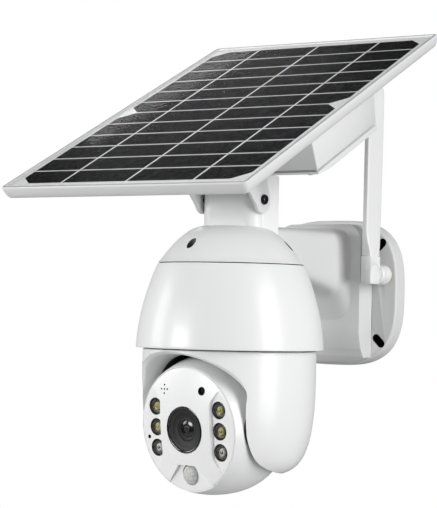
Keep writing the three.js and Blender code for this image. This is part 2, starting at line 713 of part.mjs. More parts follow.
function buildBatteryLid() {
  const half = BOX_WIDTH / 2;
  const top = boxBottom - 2 * GAP - GASKET_THICKNESS;
  const back = boxBack - BOX_RAKE;
  const front = top - LID_FRONT_DEPTH;
  const deep = top - LID_REAR_DEPTH;
  const side = [
    [BOX_FRONT, top],
    [BOX_FRONT, front],
    [BOX_FRONT + LID_RAMP, deep],
    [back - 2, deep],
    [back, deep + 3],
    [back, top],
  ];
  const across = [
    [-half, top],
    [-half, deep + LID_CHAMFER_DEPTH],
    [-half + LID_CHAMFER, deep],
    [half - LID_CHAMFER, deep],
    [half, deep + LID_CHAMFER_DEPTH],
    [half, top],
  ];
  const body = solid(acrossX(shapeOf(side), -half, half))
    .intersect(solid(acrossY(shapeOf(across), BOX_FRONT, back)));
  const hollow = solid(block(
    -half + 2 * LID_CHAMFER, half - 2 * LID_CHAMFER, BOX_FRONT + LID_RAMP * 0.8, back - 12,
    deep + 2.2, top + 1,
  ));
  let lid = cut(body, hollow);
  forEachLidCorner((x, y) => {
    lid = cut(lid, solid(rod(1.9, deep - 1, top + 1, 8).translate(x, y, 0)));
  });
  add(panel, "battery_lid", lid, WHITE_FRAME);

  const rim = boxSide(0.6, 0, 0).getPoints().map((p) => p.x);
  const sheet = roundedRect(-half + 0.6, half - 0.6, Math.min(...rim), back - 0.6, 2);
  const opening = roundedRect(-half + 13, half - 13, BOX_FRONT + 13, back - 13, 2);
  sheet.holes.push(opening);
  let gasket = solid(raised(sheet, top + GAP, boxBottom - GAP, 3));
  forEachLidCorner((x, y) => {
    gasket = cut(gasket, solid(rod(1.9, top - 1, boxBottom + 1, 8).translate(x, y, 0)));
  });
  add(panel, "lid_gasket", gasket, RUBBER);
}

function buildHingeYoke() {
  const back = BOX_FRONT - GAP;
  const neck = solid(block(-earOutside, earOutside, -NECK_FRONT, back, NECK_BOTTOM, boxTop));
  const neckHollow = solid(block(
    -earInside + 3, earInside - 3, -NECK_FRONT + 2.4, back - 2.4, NECK_BOTTOM + 3, boxTop + 1,
  ));
  const ear = new THREE.Shape();
  ear.absarc(0, 0, EAR_RADIUS, Math.PI, 2 * Math.PI);
  ear.lineTo(EAR_RADIUS, boxBottom - LID_REAR_DEPTH - 3);
  ear.lineTo(back, boxBottom - LID_FRONT_DEPTH - 5);
  ear.lineTo(back, boxBottom);
  ear.lineTo(-NECK_FRONT, boxBottom);
  ear.lineTo(-NECK_FRONT, NECK_BOTTOM);
  let yoke = cut(neck, neckHollow);
  [-1, 1].forEach((side) => {
    const [x0, x1] = side < 0 ? [-earOutside, -earInside] : [earInside, earOutside];
    yoke = union(yoke, solid(acrossX(ear, x0, x1, 10)));
  });
  const bore = alongX(rod(HINGE_BOLT_RADIUS + GAP, -earOutside - 1, earOutside + 1, 12));
  yoke = cut(yoke, solid(bore));
  add(panel, "hinge_yoke", yoke, WHITE_FRAME);
}

function buildBatteries() {
  const middle = (BOX_FRONT + boxBack - BOX_RAKE) / 2;
  const pitch = 2 * CELL_RADIUS + 1.2;
  const height = boxTop - BOX_WALL - CELL_RADIUS - 1.5;
  for (let i = 0; i < CELL_COUNT; i++) {
    const x = (i - (CELL_COUNT - 1) / 2) * pitch - 18;
    const body = turned([
      [0, -CELL_LENGTH / 2],
      [CELL_RADIUS - 0.6, -CELL_LENGTH / 2],
      [CELL_RADIUS, -CELL_LENGTH / 2 + 0.6],
      [CELL_RADIUS, CELL_LENGTH / 2 - 1.6],
      [CELL_RADIUS - 1, CELL_LENGTH / 2 - 1],
      [2.8, CELL_LENGTH / 2 - 1],
      [2.8, CELL_LENGTH / 2],
      [0, CELL_LENGTH / 2],
    ], 12);
    add(panel, "battery_cell_" + (i + 1), alongY(body).translate(x, middle, height), CELL_WRAP);
  }
  const board = block(
    (CELL_COUNT / 2) * pitch - 14, BOX_WIDTH / 2 - 12, middle - 26, middle + 26,
    boxTop - BOX_WALL - 6, boxTop - BOX_WALL - 4.4,
  );
  add(panel, "charge_board", board, BOARD);
}

// ---------------------------------------------------------------- bell housing

function bellRadius(z, shrink = 0) {
  const t = -z / BELL_HEIGHT;
  const bow = (BELL_HEM_RADIUS - BELL_TOP_RADIUS + BELL_BOW) * t - BELL_BOW * t * t;
  return BELL_TOP_RADIUS + bow - shrink;
}

function buildBell() {
  const steps = 5;
  const outer = [];
  const inner = [];
  for (let i = 0; i <= steps; i++) {
    const z = -BELL_HEIGHT + ((BELL_HEIGHT - 1) * i) / steps;
    outer.push([bellRadius(z), z]);
    const depth = -BELL_DECK - ((BELL_HEIGHT - BELL_DECK) * i) / steps;
    inner.push([bellRadius(depth, BELL_WALL), depth]);
  }
  const wire = 20;
  const profile = [
    ...outer,
    [BELL_TOP_RADIUS - 0.8, 0],
    [wire, 0],
    [wire, -BELL_DECK],
    ...inner,
    outer[0],
  ];
  const ledge = ring(bellRadius(BASE_HEIGHT - 4, 1), bellRadius(BASE_HEIGHT - 4, 4.6),
    BASE_HEIGHT - 4, BASE_HEIGHT - GAP, 44);
  let bell = union(solid(turned(profile, 44)), solid(ledge));
  forEachCapScrew((x, y) => {
    bell = cut(bell, solid(rod(1.8, -BELL_DECK - 1, 1, 8).translate(x, y, 0)));
  });
  add(dome, "bell_housing", bell, WHITE_SHELL);
}

// ---------------------------------------------------------------- pan drive

const panPitch = (PAN_TEETH * PAN_MODULE) / 2;
const panPinionPitch = (PAN_PINION_TEETH * PAN_MODULE) / 2;
const panCentres = panPitch + panPinionPitch + MESH_CLEARANCE;
const baseTop = BASE_HEIGHT + BASE_THICKNESS;
const gearLow = baseTop + 3;
const gearHigh = gearLow + GEAR_THICKNESS;
const PAN_DRIVE_TURN = 150; // bearing of the pan motor about the pan axis
const panPinionX = panCentres * Math.cos(rad(PAN_DRIVE_TURN));
const panPinionY = panCentres * Math.sin(rad(PAN_DRIVE_TURN));

function buildPanDrive() {
  const baseRadius = bellRadius(BASE_HEIGHT, BELL_WALL + 0.6);
  const base = ring(baseRadius, BEARING_OUTER + GAP, BASE_HEIGHT, baseTop, 36);
  add(dome, "pan_base", base, DARK_PLASTIC);
  const bearingLow = BASE_HEIGHT - BEARING_HEIGHT / 3;
  const bearing = ring(BEARING_OUTER, STEM_RADIUS + GAP, bearingLow, bearingLow + BEARING_HEIGHT);
  add(dome, "pan_bearing", bearing, STEEL);

  const motorLow = gearHigh + 1.6;
  const motor = turned([
    [0, motorLow],
    [PAN_MOTOR_RADIUS, motorLow],
    [PAN_MOTOR_RADIUS, motorLow + PAN_MOTOR_HEIGHT],
    [0, motorLow + PAN_MOTOR_HEIGHT],
  ], 20);
  const shaftHole = rod(1.6, motorLow - 1, motorLow + 6, 10);
  const motorBody = cut(solid(motor), solid(shaftHole));
  const placed = toGeometry(motorBody).translate(panPinionX, panPinionY, 0);
  add(dome, "pan_motor", placed, STEEL);

  // The pinion has a gap where the gear has a tooth, along the line of centres.
  const gap = Math.PI / PAN_PINION_TEETH;
  const pinionTurn = rad(PAN_DRIVE_TURN) + Math.PI + gap;
  const pinion = solid(raised(gearShape(PAN_PINION_TEETH, PAN_MODULE, pinionTurn), gearLow, gearHigh));
  const shaft = solid(rod(1.3, gearLow, motorLow + 5, 12));
  const pinionPlaced = toGeometry(union(pinion, shaft)).translate(panPinionX, panPinionY, 0);
  add(dome, "pan_pinion", pinionPlaced, BRASS);

  const gearTurn = rad(PAN_DRIVE_TURN - PAN_REST);
  const gear = solid(raised(gearShape(PAN_TEETH, PAN_MODULE, gearTurn), gearLow, gearHigh));
  add(pan, "pan_gear", cut(gear, solid(rod(STEM_RADIUS + GAP, gearLow - 1, gearHigh + 1))),
    GEAR_WHITE);

  const boardZ = motorLow + PAN_MOTOR_HEIGHT + 2;
  add(dome, "main_board", ring(42, 12, boardZ, boardZ + 1.6), BOARD);
}

// ---------------------------------------------------------------- pan shell

function panProfile(shrink, top, bottom) {
  const path = new THREE.Path();
  path.moveTo(PAN_RADIUS - shrink, -78);
  path.bezierCurveTo(PAN_RADIUS - shrink, -104, 57.4 - shrink, -118, 53.6 - shrink, -127.4);
  path.bezierCurveTo(50 - shrink, -136.5, 43 - shrink, bottom, 30 - shrink, bottom);
  const curve = path.getPoints(5).map((p) => [p.x, p.y]);
  return [[0, bottom], ...curve.reverse(), [PAN_RADIUS - shrink, top], [0, top]];
}

const sweepRadius = Math.hypot(FACE_RADIUS + 0.3, FACE_EDGE) + SWEEP_CLEARANCE;

function buildPanShell() {
  const outer = solid(turned(panProfile(0, PAN_TOP, PAN_BOTTOM), 44));
  const sweep = new THREE.SphereGeometry(sweepRadius, 36, 18).rotateX(Math.PI / 2);
  const ball = solid(sweep.translate(0, -HEAD_FORWARD, HEAD_HEIGHT));
  // The cheeks are flat inside, with a round pocket each for the tilt gears and the axle's flange.
  const past = 2 * sweepRadius;
  const low = HEAD_HEIGHT - past;
  const high = HEAD_HEIGHT + past;
  const between = solid(block(-ARCH_HALF_WIDTH, ARCH_HALF_WIDTH, -past, past, low, high));
  const pockets = solid(alongX(rod(TILT_POCKET, -sweepRadius, sweepRadius, 40))
    .translate(0, -HEAD_FORWARD, HEAD_HEIGHT));
  const inside = ball.intersect(union(between, pockets));
  const bore = solid(rod(PAN_RADIUS - PAN_WALL, HEAD_HEIGHT + 26, PAN_TOP + 1, 36));
  const depth = ARCH_CENTRE - PAN_BOTTOM + 17;
  const arch = loft(4, 48, (row, angle) => {
    const flare = [1.2, 1, 0, 0][row];
    const across = Math.cos(angle);
    const along = Math.sin(angle);
    const wide = ARCH_HALF_WIDTH + ARCH_FLARE * flare * Math.min(1, 1.6 * Math.max(0, along));
    const square = Math.max(-1, Math.min(1, 1.5 * across));
    const x = wide * (along >= 0 ? across : square);
    const rise = (ARCH_HALF_HEIGHT + ARCH_LIFT * flare) * along;
    const z = along >= 0 ? rise : depth * Math.max(-1, 1.5 * along);
    const skin = -Math.sqrt(PAN_RADIUS ** 2 - Math.min(Math.abs(x), PAN_RADIUS - 1) ** 2);
    const y = [-PAN_RADIUS - 8, skin, skin + 4, -HEAD_FORWARD - 12][row];
    return new THREE.Vector3(x, y, ARCH_CENTRE + z);
  });
  const shell = cut(outer, inside, bore, solid(arch));
  const [largest] = shell.decompose().sort((a, b) => b.volume() - a.volume());
  add(pan, "pan_shell", largest, WHITE_SHELL);
}

function buildTurntable() {
  const deckTop = PAN_TOP - GAP;
  const deckLow = deckTop - PAN_DECK;
  const stemTop = gearHigh + 3;
  const table = turned([
    [STEM_BORE, deckLow],
    [PAN_RADIUS - PAN_WALL - GAP, deckLow],
    [PAN_RADIUS - PAN_WALL - GAP, deckTop],
    [STEM_RADIUS + 3, deckTop],
    [STEM_RADIUS, deckTop + 1.5],
    [STEM_RADIUS, stemTop],
    [STEM_BORE, stemTop],
    [STEM_BORE, deckLow],
  ], 36);
  add(pan, "turntable", table, DARK_PLASTIC);
}

const tiltPitch = (TILT_TEETH * TILT_MODULE) / 2;
const tiltPinionPitch = (TILT_PINION_TEETH * TILT_MODULE) / 2;
const tiltCentres = tiltPitch + tiltPinionPitch + MESH_CLEARANCE;
const tiltGearX = -(FLAT_AT + 1.6 + TILT_GEAR_THICKNESS);
const TILT_DRIVE_TURN = 125; // bearing of the tilt motor about the tilt axis, in the head
const AXLE_FLANGE = 8;
const seatX = Math.sqrt(sweepRadius ** 2 - AXLE_FLANGE ** 2) - 0.8;

function buildTiltSupports() {
  const axle = turned([
    [0, FLAT_AT - 6],
    [AXLE_RADIUS, FLAT_AT - 6],
    [AXLE_RADIUS, seatX - 3],
    [AXLE_FLANGE, seatX - 3],
    [AXLE_FLANGE, seatX],
    [0, seatX],
  ], 20);
  add(pan, "tilt_axle", alongX(axle).translate(0, -HEAD_FORWARD, HEAD_HEIGHT), STEEL);
  // A tooth of the fixed gear points at the pinion, in the stored pose.
  const toPinion = rad(270 - TILT_DRIVE_TURN + HEAD_REST);
  const outline = gearShape(TILT_TEETH, TILT_MODULE, toPinion);
  const teeth = solid(raised(outline, 0, TILT_GEAR_THICKNESS));
  const stub = solid(rod(AXLE_RADIUS - 0.6, 0, TILT_GEAR_THICKNESS + 7, 16));
  const hub = solid(rod(6, -(seatX + tiltGearX), 1, 20));
  const gear = toGeometry(union(teeth, stub, hub));
  alongX(gear).translate(tiltGearX, -HEAD_FORWARD, HEAD_HEIGHT);
  add(pan, "tilt_gear", gear, GEAR_WHITE);
}

// ---------------------------------------------------------------- head shells

const headNose = HEAD_RADIUS / Math.sqrt(1 - (FACE_RADIUS / HEAD_RADIUS) ** 2) * (FACE_EDGE / HEAD_RADIUS);

// Outer radius of the head at a distance along the line of sight.
function headRadius(f) {
  const reach = f > 0 ? headNose : HEAD_RADIUS;
  return HEAD_RADIUS * Math.sqrt(Math.max(0, 1 - (f / reach) ** 2));
}

function headSkin(from, to, steps) {
  const points = [];
  for (let i = 0; i <= steps; i++) {
    const f = from + ((to - from) * i) / steps;
    points.push([headRadius(f), f]);
  }
  return points;
}

function insetSkin(from, to, steps) {
  const scale = (HEAD_RADIUS - HEAD_WALL) / HEAD_RADIUS;
  return headSkin(from / scale, to / scale, steps).map(([r, f]) => [r * scale, f * scale]);
}

function buildHeadShells() {
  const sides = solid(block(-FLAT_AT, FLAT_AT, -60, 60, -60, 60));
  const insideFlat = FLAT_AT - HEAD_WALL;
  const insides = solid(block(-insideFlat, insideFlat, -60, 60, -60, 60));
  const faceSeat = FACE_EDGE - FACE_THICKNESS - GAP;
  const front = solid(turned([
    [0, HEAD_SPLIT], ...headSkin(HEAD_SPLIT, FACE_EDGE, 6), [0, FACE_EDGE],
  ], 40)).intersect(sides);
  const frontHollow = solid(turned([
    [0, HEAD_SPLIT - 1],
    ...insetSkin(HEAD_SPLIT - 1, faceSeat - 3, 3),
    [FACE_RADIUS - 2.5, faceSeat - 3],
    [FACE_RADIUS - 2.5, faceSeat],
    [FACE_RADIUS + GAP - 0.9, faceSeat],
    [FACE_RADIUS + GAP - 0.9, FACE_EDGE + 1],
    [0, FACE_EDGE + 1],
  ], 32)).intersect(union(insides, solid(block(-60, 60, -60, 60, faceSeat - 3, 60))));
  const rear = solid(turned([
    [0, -HEAD_RADIUS], ...rearSkin(), [0, HEAD_SPLIT - GAP],
  ], 40)).intersect(sides);
  const innerRadius = HEAD_RADIUS - HEAD_WALL;
  const rearHollow = solid(turned([
    [0, -innerRadius], ...rearInset(), [0, HEAD_SPLIT],
  ], 24)).intersect(insides);
  const axleHole = alongX(rod(AXLE_RADIUS + GAP, 0, 60, 12));
  const stubHole = alongX(rod(AXLE_RADIUS - 0.6 + GAP, -60, 0, 12));
  const [px, py] = tiltPinionAt();
  const shaftHole = alongX(rod(1.7, -60, -30, 10)).translate(0, px, py);
  const holes = [axleHole, stubHole, shaftHole].map(solid);
  const hatch = solid(block(-HATCH_X, HATCH_X, -HEAD_RADIUS - 1, -HATCH_UP, HATCH_FAR, HATCH_NEAR));
  add(face, "head_front_shell", cut(front, frontHollow, ...holes), WHITE_SHELL);
  add(face, "head_rear_shell", cut(rear, rearHollow, ...holes, hatch), WHITE_SHELL);

  const coverSkin = solid(turned([[0, -HEAD_RADIUS], ...rearSkin(), [0, HEAD_SPLIT - GAP]], 40));
  const coverInside = solid(turned([[0, -innerRadius], ...rearInset(), [0, HEAD_SPLIT]], 24));
  const [left, right, near, far] = [-HATCH_X + GAP, HATCH_X - GAP, HATCH_NEAR - GAP, HATCH_FAR + GAP];
  const window = solid(block(left, right, -HEAD_RADIUS - 1, -HATCH_UP - GAP, far, near));
  add(face, "service_cover", cut(coverSkin.intersect(window), coverInside), RUBBER);
}

// The rear half's skins are stepped evenly by angle, so that the pole stays round.
function rearSkin() {
  const steps = 6;
  const end = Math.acos((HEAD_SPLIT - GAP) / -HEAD_RADIUS);
  const points = [];
  for (let i = 1; i <= steps; i++) {
    const angle = (end * i) / steps;
    points.push([HEAD_RADIUS * Math.sin(angle), -HEAD_RADIUS * Math.cos(angle)]);
  }
  return points;
}

function rearInset() {
  const inner = HEAD_RADIUS - HEAD_WALL;
  const steps = 4;
  const end = Math.acos(HEAD_SPLIT / -inner);
  const points = [];
  for (let i = 1; i <= steps; i++) {
    const angle = (end * i) / steps;
    points.push([inner * Math.sin(angle), -inner * Math.cos(angle)]);
  }
  return points;
}

// Place of the tilt pinion in the face group's YZ plane.
function tiltPinionAt() {
  const angle = rad(TILT_DRIVE_TURN);
  return [tiltCentres * Math.sin(angle), tiltCentres * Math.cos(angle)];
}

function buildTiltDrive() {
  const [py, pz] = tiltPinionAt();
  const motorEnd = -(FLAT_AT - HEAD_WALL) + 2.6;
  const motor = alongX(rod(TILT_MOTOR_RADIUS, motorEnd, motorEnd + TILT_MOTOR_LENGTH, 20));
  const hole = alongX(rod(1.5, motorEnd - 1, motorEnd + 6, 12));
  const body = toGeometry(cut(solid(motor), solid(hole))).translate(0, py, pz);
  add(face, "tilt_motor", body, STEEL);
  const turn = pinionMeshTurn();
  const teeth = solid(raised(gearShape(TILT_PINION_TEETH, TILT_MODULE, turn), tiltGearX + 0.2,
    tiltGearX + TILT_GEAR_THICKNESS - 0.2));
  const shaft = solid(rod(1.2, tiltGearX + 0.2, motorEnd + 5, 12));
  const pinion = toGeometry(union(teeth, shaft));
  add(face, "tilt_pinion", alongX(pinion).translate(0, py, pz), BRASS);
}

// Angle that puts a gap of the pinion on the line of centres.
function pinionMeshTurn() {
  return -rad(TILT_DRIVE_TURN) + Math.PI / TILT_PINION_TEETH;
}

// ---------------------------------------------------------------- face

const faceHeight = (r) => FACE_EDGE + FACE_BULGE * (1 - (r / FACE_RADIUS) ** 2);
const facePlane = FACE_EDGE + FACE_BULGE;
const LED_PLACES = [-1, 1].flatMap((side) =>
  [1, 0, -1].map((row) => [side * LED_COLUMN, row * LED_PITCH]));

function buildFacePlate() {
  const rim = FACE_RADIUS - 0.9;
  const back = FACE_EDGE - FACE_THICKNESS;
  const points = [[0, back], [rim, back]];
  const steps = 4;
  for (let i = 0; i <= steps; i++) {
    const r = rim * (1 - i / steps);
    points.push([r, faceHeight(r)]);
  }
  let plate = solid(turned(points, 36));
  [-1, 1].forEach((side) => {
    const facet = shapeOf([
      [side * 31.5, 29.5],
      [side * RIDGE_HALF_WIDTH, 19],
      [side * RIDGE_HALF_WIDTH, -13],
      [side * 30, -28.5],
      [side * 60, -40],
      [side * 60, 40],
    ]);
    plate = cut(plate, solid(raised(facet, FACE_EDGE, facePlane + 5)));
  });
  const recess = shapeOf([[-6, -22.3], [6, -22.3], [19, -48], [-19, -48]]);
  const wedge = raised(recess, 0, 20);
  wedge.translate(0, 22.3, 0).rotateX(rad(9)).translate(0, -22.3, FACE_EDGE + 1.6);
  plate = cut(plate, solid(wedge));
  LED_PLACES.forEach(([x, y]) => {
    plate = cut(plate, solid(rod(LED_RADIUS, back - 1, facePlane + 1, 12).translate(x, y, 0)));
  });
  plate = cut(
    plate,
    solid(rod(LENS_RADIUS - 1.4, back - 1, facePlane + 2, 24)),
    solid(rod(PIR_RADIUS, back - 1, facePlane, 12).translate(0, -PIR_DROP, 0)),
    solid(rod(2.9, back - 1, facePlane, 8).translate(SENSOR_X, SENSOR_UP, 0)),
    solid(rod(1.2, back - 1, facePlane, 6).translate(-36.2, -7.1, 0)),
  );
  [[0, 0], [3, 0], [-3, 0], [0, 3], [0, -3]].forEach(([x, y]) => {
    const hole = rod(0.55, back - 1, facePlane, 6).translate(x - SENSOR_X, y + SENSOR_UP, 0);
    plate = cut(plate, solid(hole));
  });
  add(face, "face_plate", plate, WHITE_SHELL);
}

function buildFaceParts() {
  const back = FACE_EDGE - FACE_THICKNESS;
  LED_PLACES.forEach(([x, y], i) => {
    const r = LED_RADIUS - GAP;
    const lamp = turned([
      [0, back - 2], [r, back - 2], [r, FACE_EDGE], [r * 0.7, FACE_EDGE + 0.9],
      [0, FACE_EDGE + 1.3],
    ], 12);
    const infrared = y < 0;
    add(face, "led_" + (i + 1), lamp.translate(x, y, 0), infrared ? LED_CLEAR : LED_YELLOW);
  });
  const ledBoard = ring(37, 19, back - 4.2, back - 2.6, 28);
  add(face, "led_board", ledBoard, BOARD);

  const bezelFront = facePlane + LENS_PROUD;
  const bezelBack = facePlane + 0.1;
  const tube = LENS_RADIUS - 1.4 - GAP;
  const bezel = turned([
    [BARREL_RADIUS + GAP, bezelFront - 4],
    [BARREL_RADIUS + GAP, back - 3],
    [tube, back - 3],
    [tube, bezelBack],
    [LENS_RADIUS, bezelBack],
    [LENS_RADIUS, bezelFront - 0.5],
    [LENS_RADIUS - 0.6, bezelFront],
    [LENS_RADIUS - 1.6, bezelFront - 0.2],
    [BARREL_RADIUS + GAP, bezelFront - 4],
  ], 24);
  add(face, "lens_bezel", bezel, GLOSS_BLACK);
  const barrelFront = bezelFront - 4.2;
  const barrel = turned([
    [0, barrelFront - 20],
    [BARREL_RADIUS - 1, barrelFront - 20],
    [BARREL_RADIUS - 1, barrelFront - 9],
    [BARREL_RADIUS, barrelFront - 9],
    [BARREL_RADIUS, barrelFront],
    [6.4, barrelFront],
    [5.6, barrelFront - 1.2],
    [0, barrelFront - 1.2],
  ], 20);
  add(face, "lens_barrel", barrel, DARK_PLASTIC);
  const windowBack = barrelFront - 1.2 + GAP;
  const glass = turned([
    [0, windowBack], [5.1, windowBack], [5.1, windowBack + 0.5], [3.4, windowBack + 1.2],
    [0, windowBack + 1.6],
  ], 12);
  add(face, "lens_glass", glass, GLASS);
  const boardFront = barrelFront - 20 - GAP;
  add(face, "sensor_board", block(-17, 17, -17, 17, boardFront - 1.6, boardFront), BOARD);

  const pirSeat = back - 1;
  const pir = turned([
    [0, pirSeat], [PIR_RADIUS - GAP, pirSeat], [PIR_RADIUS - GAP, FACE_EDGE - 0.4],
    [PIR_RADIUS * 0.82, FACE_EDGE + 2.2], [PIR_RADIUS * 0.45, FACE_EDGE + 4],
    [0, FACE_EDGE + 4.7],
  ], 12);
  add(face, "pir_lens", pir.translate(0, -PIR_DROP, 0), PIR_FROST);
  const window = rod(2.9 - GAP, back, faceHeight(Math.hypot(SENSOR_X, SENSOR_UP)) - 1, 16);
  add(face, "light_sensor", window.translate(SENSOR_X, SENSOR_UP, 0), GLOSS_BLACK);
  const speaker = turned([
    [0, back - 9], [6, back - 9], [6, back - 6], [8, back - 5], [8, back - 4.6 - GAP],
    [0, back - 4.6 - GAP],
  ], 12);
  add(face, "speaker", speaker.translate(-SENSOR_X, SENSOR_UP - 3, 0), DARK_PLASTIC);
}

function buildControls() {
  const boardY = -33.2;
  const tip = boardY - 1; // room for the button's stroke
  add(face, "reset_button", alongY(rod(2, -tip, -tip + 2, 12)).scale(1, -1, 1)
    .translate(6, 0, -25), BUTTON_GREY);
  add(face, "control_board", block(-9, 9, boardY, boardY + 1.6, -30, -20), BOARD);
}

// ---------------------------------------------------------------- antenna

function buildAntenna() {
  const flange = solid(alongY(rod(6.4, -2.2, -GAP, 6)));
  const thread = solid(alongY(rod(3.2, -8, PLATE_WALL + 3, 20)));
  add(antenna, "antenna_socket", union(flange, thread), BRASS);
  const nutFront = -ANTENNA_REACH + GAP;
  const r = ANTENNA_NUT_RADIUS;
  const nut = turned([
    [3.5, 2.2 + GAP],
    [r - 0.6, 2.2 + GAP],
    [r, 3.4],
    [r, 8.6],
    [r - 0.8, 9.2],
    [r - 0.2, 10],
    [r - 0.2, -nutFront - 0.8],
    [r - 1, -nutFront],
    [3.5, -nutFront],
    [3.5, 2.2 + GAP],
  ], 20);
  add(antenna, "antenna_nut", nut.rotateX(Math.PI / 2), WHITE_SHELL);

  const middle = -ANTENNA_REACH - KNUCKLE_LENGTH / 2;
  const halfWidth = KNUCKLE_WIDTH / 2;
  const halfLength = KNUCKLE_LENGTH / 2;
  const disc = solid(alongX(rod(halfLength, -halfWidth, halfWidth, 24)).translate(0, middle, 0));
  const collar = solid(alongY(rod(5.2, -ANTENNA_REACH - 2, -ANTENNA_REACH, 16)));
  const slot = solid(block(
    -1.9, 1.9, middle - halfLength - 1, middle + halfLength - 2, -halfLength + 1.4, halfLength + 1,
  ));
  const pin = solid(alongX(rod(1.5, -halfWidth, halfWidth, 16)).translate(0, middle, 0));
  const knuckle = union(cut(union(disc, collar), slot), pin);
  add(antenna, "antenna_knuckle", knuckle, WHITE_SHELL);

  const tongue = 1.6;
  const stations = [
    [halfLength + GAP + 0.1, halfWidth, halfLength, 0],
    [SHOULDER_RISE, halfWidth, halfLength, 0],
    [SHOULDER_RISE + 8, halfWidth * 0.8, halfLength * 1.25, 0.2],
    [SHOULDER_RISE + 18, BLADE_THICKNESS / 2, BLADE_WIDTH / 2 - 0.6, 0.6],
    [BLADE_TOP - 12, BLADE_THICKNESS / 2, BLADE_WIDTH / 2, 2.4],
    [BLADE_TOP - 4, BLADE_THICKNESS / 2, BLADE_WIDTH / 2 - 1.4, 2.5],
    [BLADE_TOP, BLADE_THICKNESS / 2 - 0.8, BLADE_WIDTH / 2 - 5, 2.5],
  ];
  const blade = loft(stations.length, 16, (row, angle) => {
    const [z, halfX, halfY, lean] = stations[row];
    const [x, y] = ovalPoint(angle, halfX, halfY, 6);
    return new THREE.Vector3(x, middle + lean + y, z);
  });
  const tongueShape = new THREE.Shape();
  tongueShape.absarc(middle, 0, 4.6, Math.PI, 2 * Math.PI);
  tongueShape.lineTo(middle + 4.6, halfLength + 1);
  tongueShape.lineTo(middle - 4.6, halfLength + 1);
  const tongueBody = solid(acrossX(tongueShape, -tongue, tongue, 10));
  const pinHole = solid(alongX(rod(1.5 + GAP, -5, 5, 16)).translate(0, middle, 0));
  add(antenna, "antenna_blade", cut(union(solid(blade), tongueBody), pinHole), WHITE_SHELL);
}

// ---------------------------------------------------------------- assembly

buildWallPlate();
buildWallPad();
buildBracketArm();
buildCapScrews();
buildPost();
buildHingeFasteners();
buildPanel();
buildBatteryBox();
buildBatteryLid();
buildHingeYoke();
buildBatteries();
buildBell();
buildPanDrive();
buildPanShell();
buildTurntable();
buildTiltSupports();
buildHeadShells();
buildTiltDrive();
buildFacePlate();
buildFaceParts();
buildControls();
buildAntenna();

export default camera;
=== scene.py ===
import json
import math
import bmesh
import bpy
from mathutils import Matrix, Vector


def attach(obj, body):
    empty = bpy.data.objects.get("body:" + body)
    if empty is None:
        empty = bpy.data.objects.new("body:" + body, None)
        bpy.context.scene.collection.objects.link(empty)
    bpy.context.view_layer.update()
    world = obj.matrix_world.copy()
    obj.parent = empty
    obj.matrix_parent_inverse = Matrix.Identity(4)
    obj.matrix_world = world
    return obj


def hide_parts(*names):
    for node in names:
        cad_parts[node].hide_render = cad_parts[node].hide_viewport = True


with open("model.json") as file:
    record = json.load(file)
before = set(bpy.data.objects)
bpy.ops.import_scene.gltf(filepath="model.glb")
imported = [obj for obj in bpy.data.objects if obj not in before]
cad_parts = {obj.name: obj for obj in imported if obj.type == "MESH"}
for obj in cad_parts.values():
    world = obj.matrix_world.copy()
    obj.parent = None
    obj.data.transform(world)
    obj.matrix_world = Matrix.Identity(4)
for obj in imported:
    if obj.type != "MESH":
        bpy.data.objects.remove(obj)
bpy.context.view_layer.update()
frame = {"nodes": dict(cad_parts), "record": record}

scene = bpy.context.scene
MM = 0.001

# ---------------------------------------------------------------- places
# The same groups of axes as the model: sizes below are in millimetres in each of them.

REACH = 157  # wall to the dome's axis
SEAM_HEIGHT = 16.5  # the dome's upper seam
HINGE = (0, -0.65, 44.5)  # panel hinge, from the seam
TILT_AXIS = (0, -7.4, -108.1)  # head's axle, from the seam
PAN_REST = math.radians(-9.76)
HEAD_REST = math.radians(6.2)
PANEL_TILT = math.radians(25.63)


def shift(x, y, z):
    return Matrix.Translation((x * MM, y * MM, z * MM))


def turn(angle, axis):
    return Matrix.Rotation(angle, 4, axis)


WORLD = Matrix.Identity(4)
DOME = shift(0, -REACH, SEAM_HEIGHT)
PANEL = DOME @ shift(*HINGE) @ turn(PANEL_TILT, "X")
PAN = DOME @ turn(PAN_REST, "Z")
HEAD = PAN @ shift(*TILT_AXIS) @ turn(HEAD_REST, "X")
FACE = HEAD @ turn(math.pi / 2, "X")  # +Z is the line of sight, +Y is up
ANTENNA = shift(45.5, -15, 13.5)

# ---------------------------------------------------------------- materials


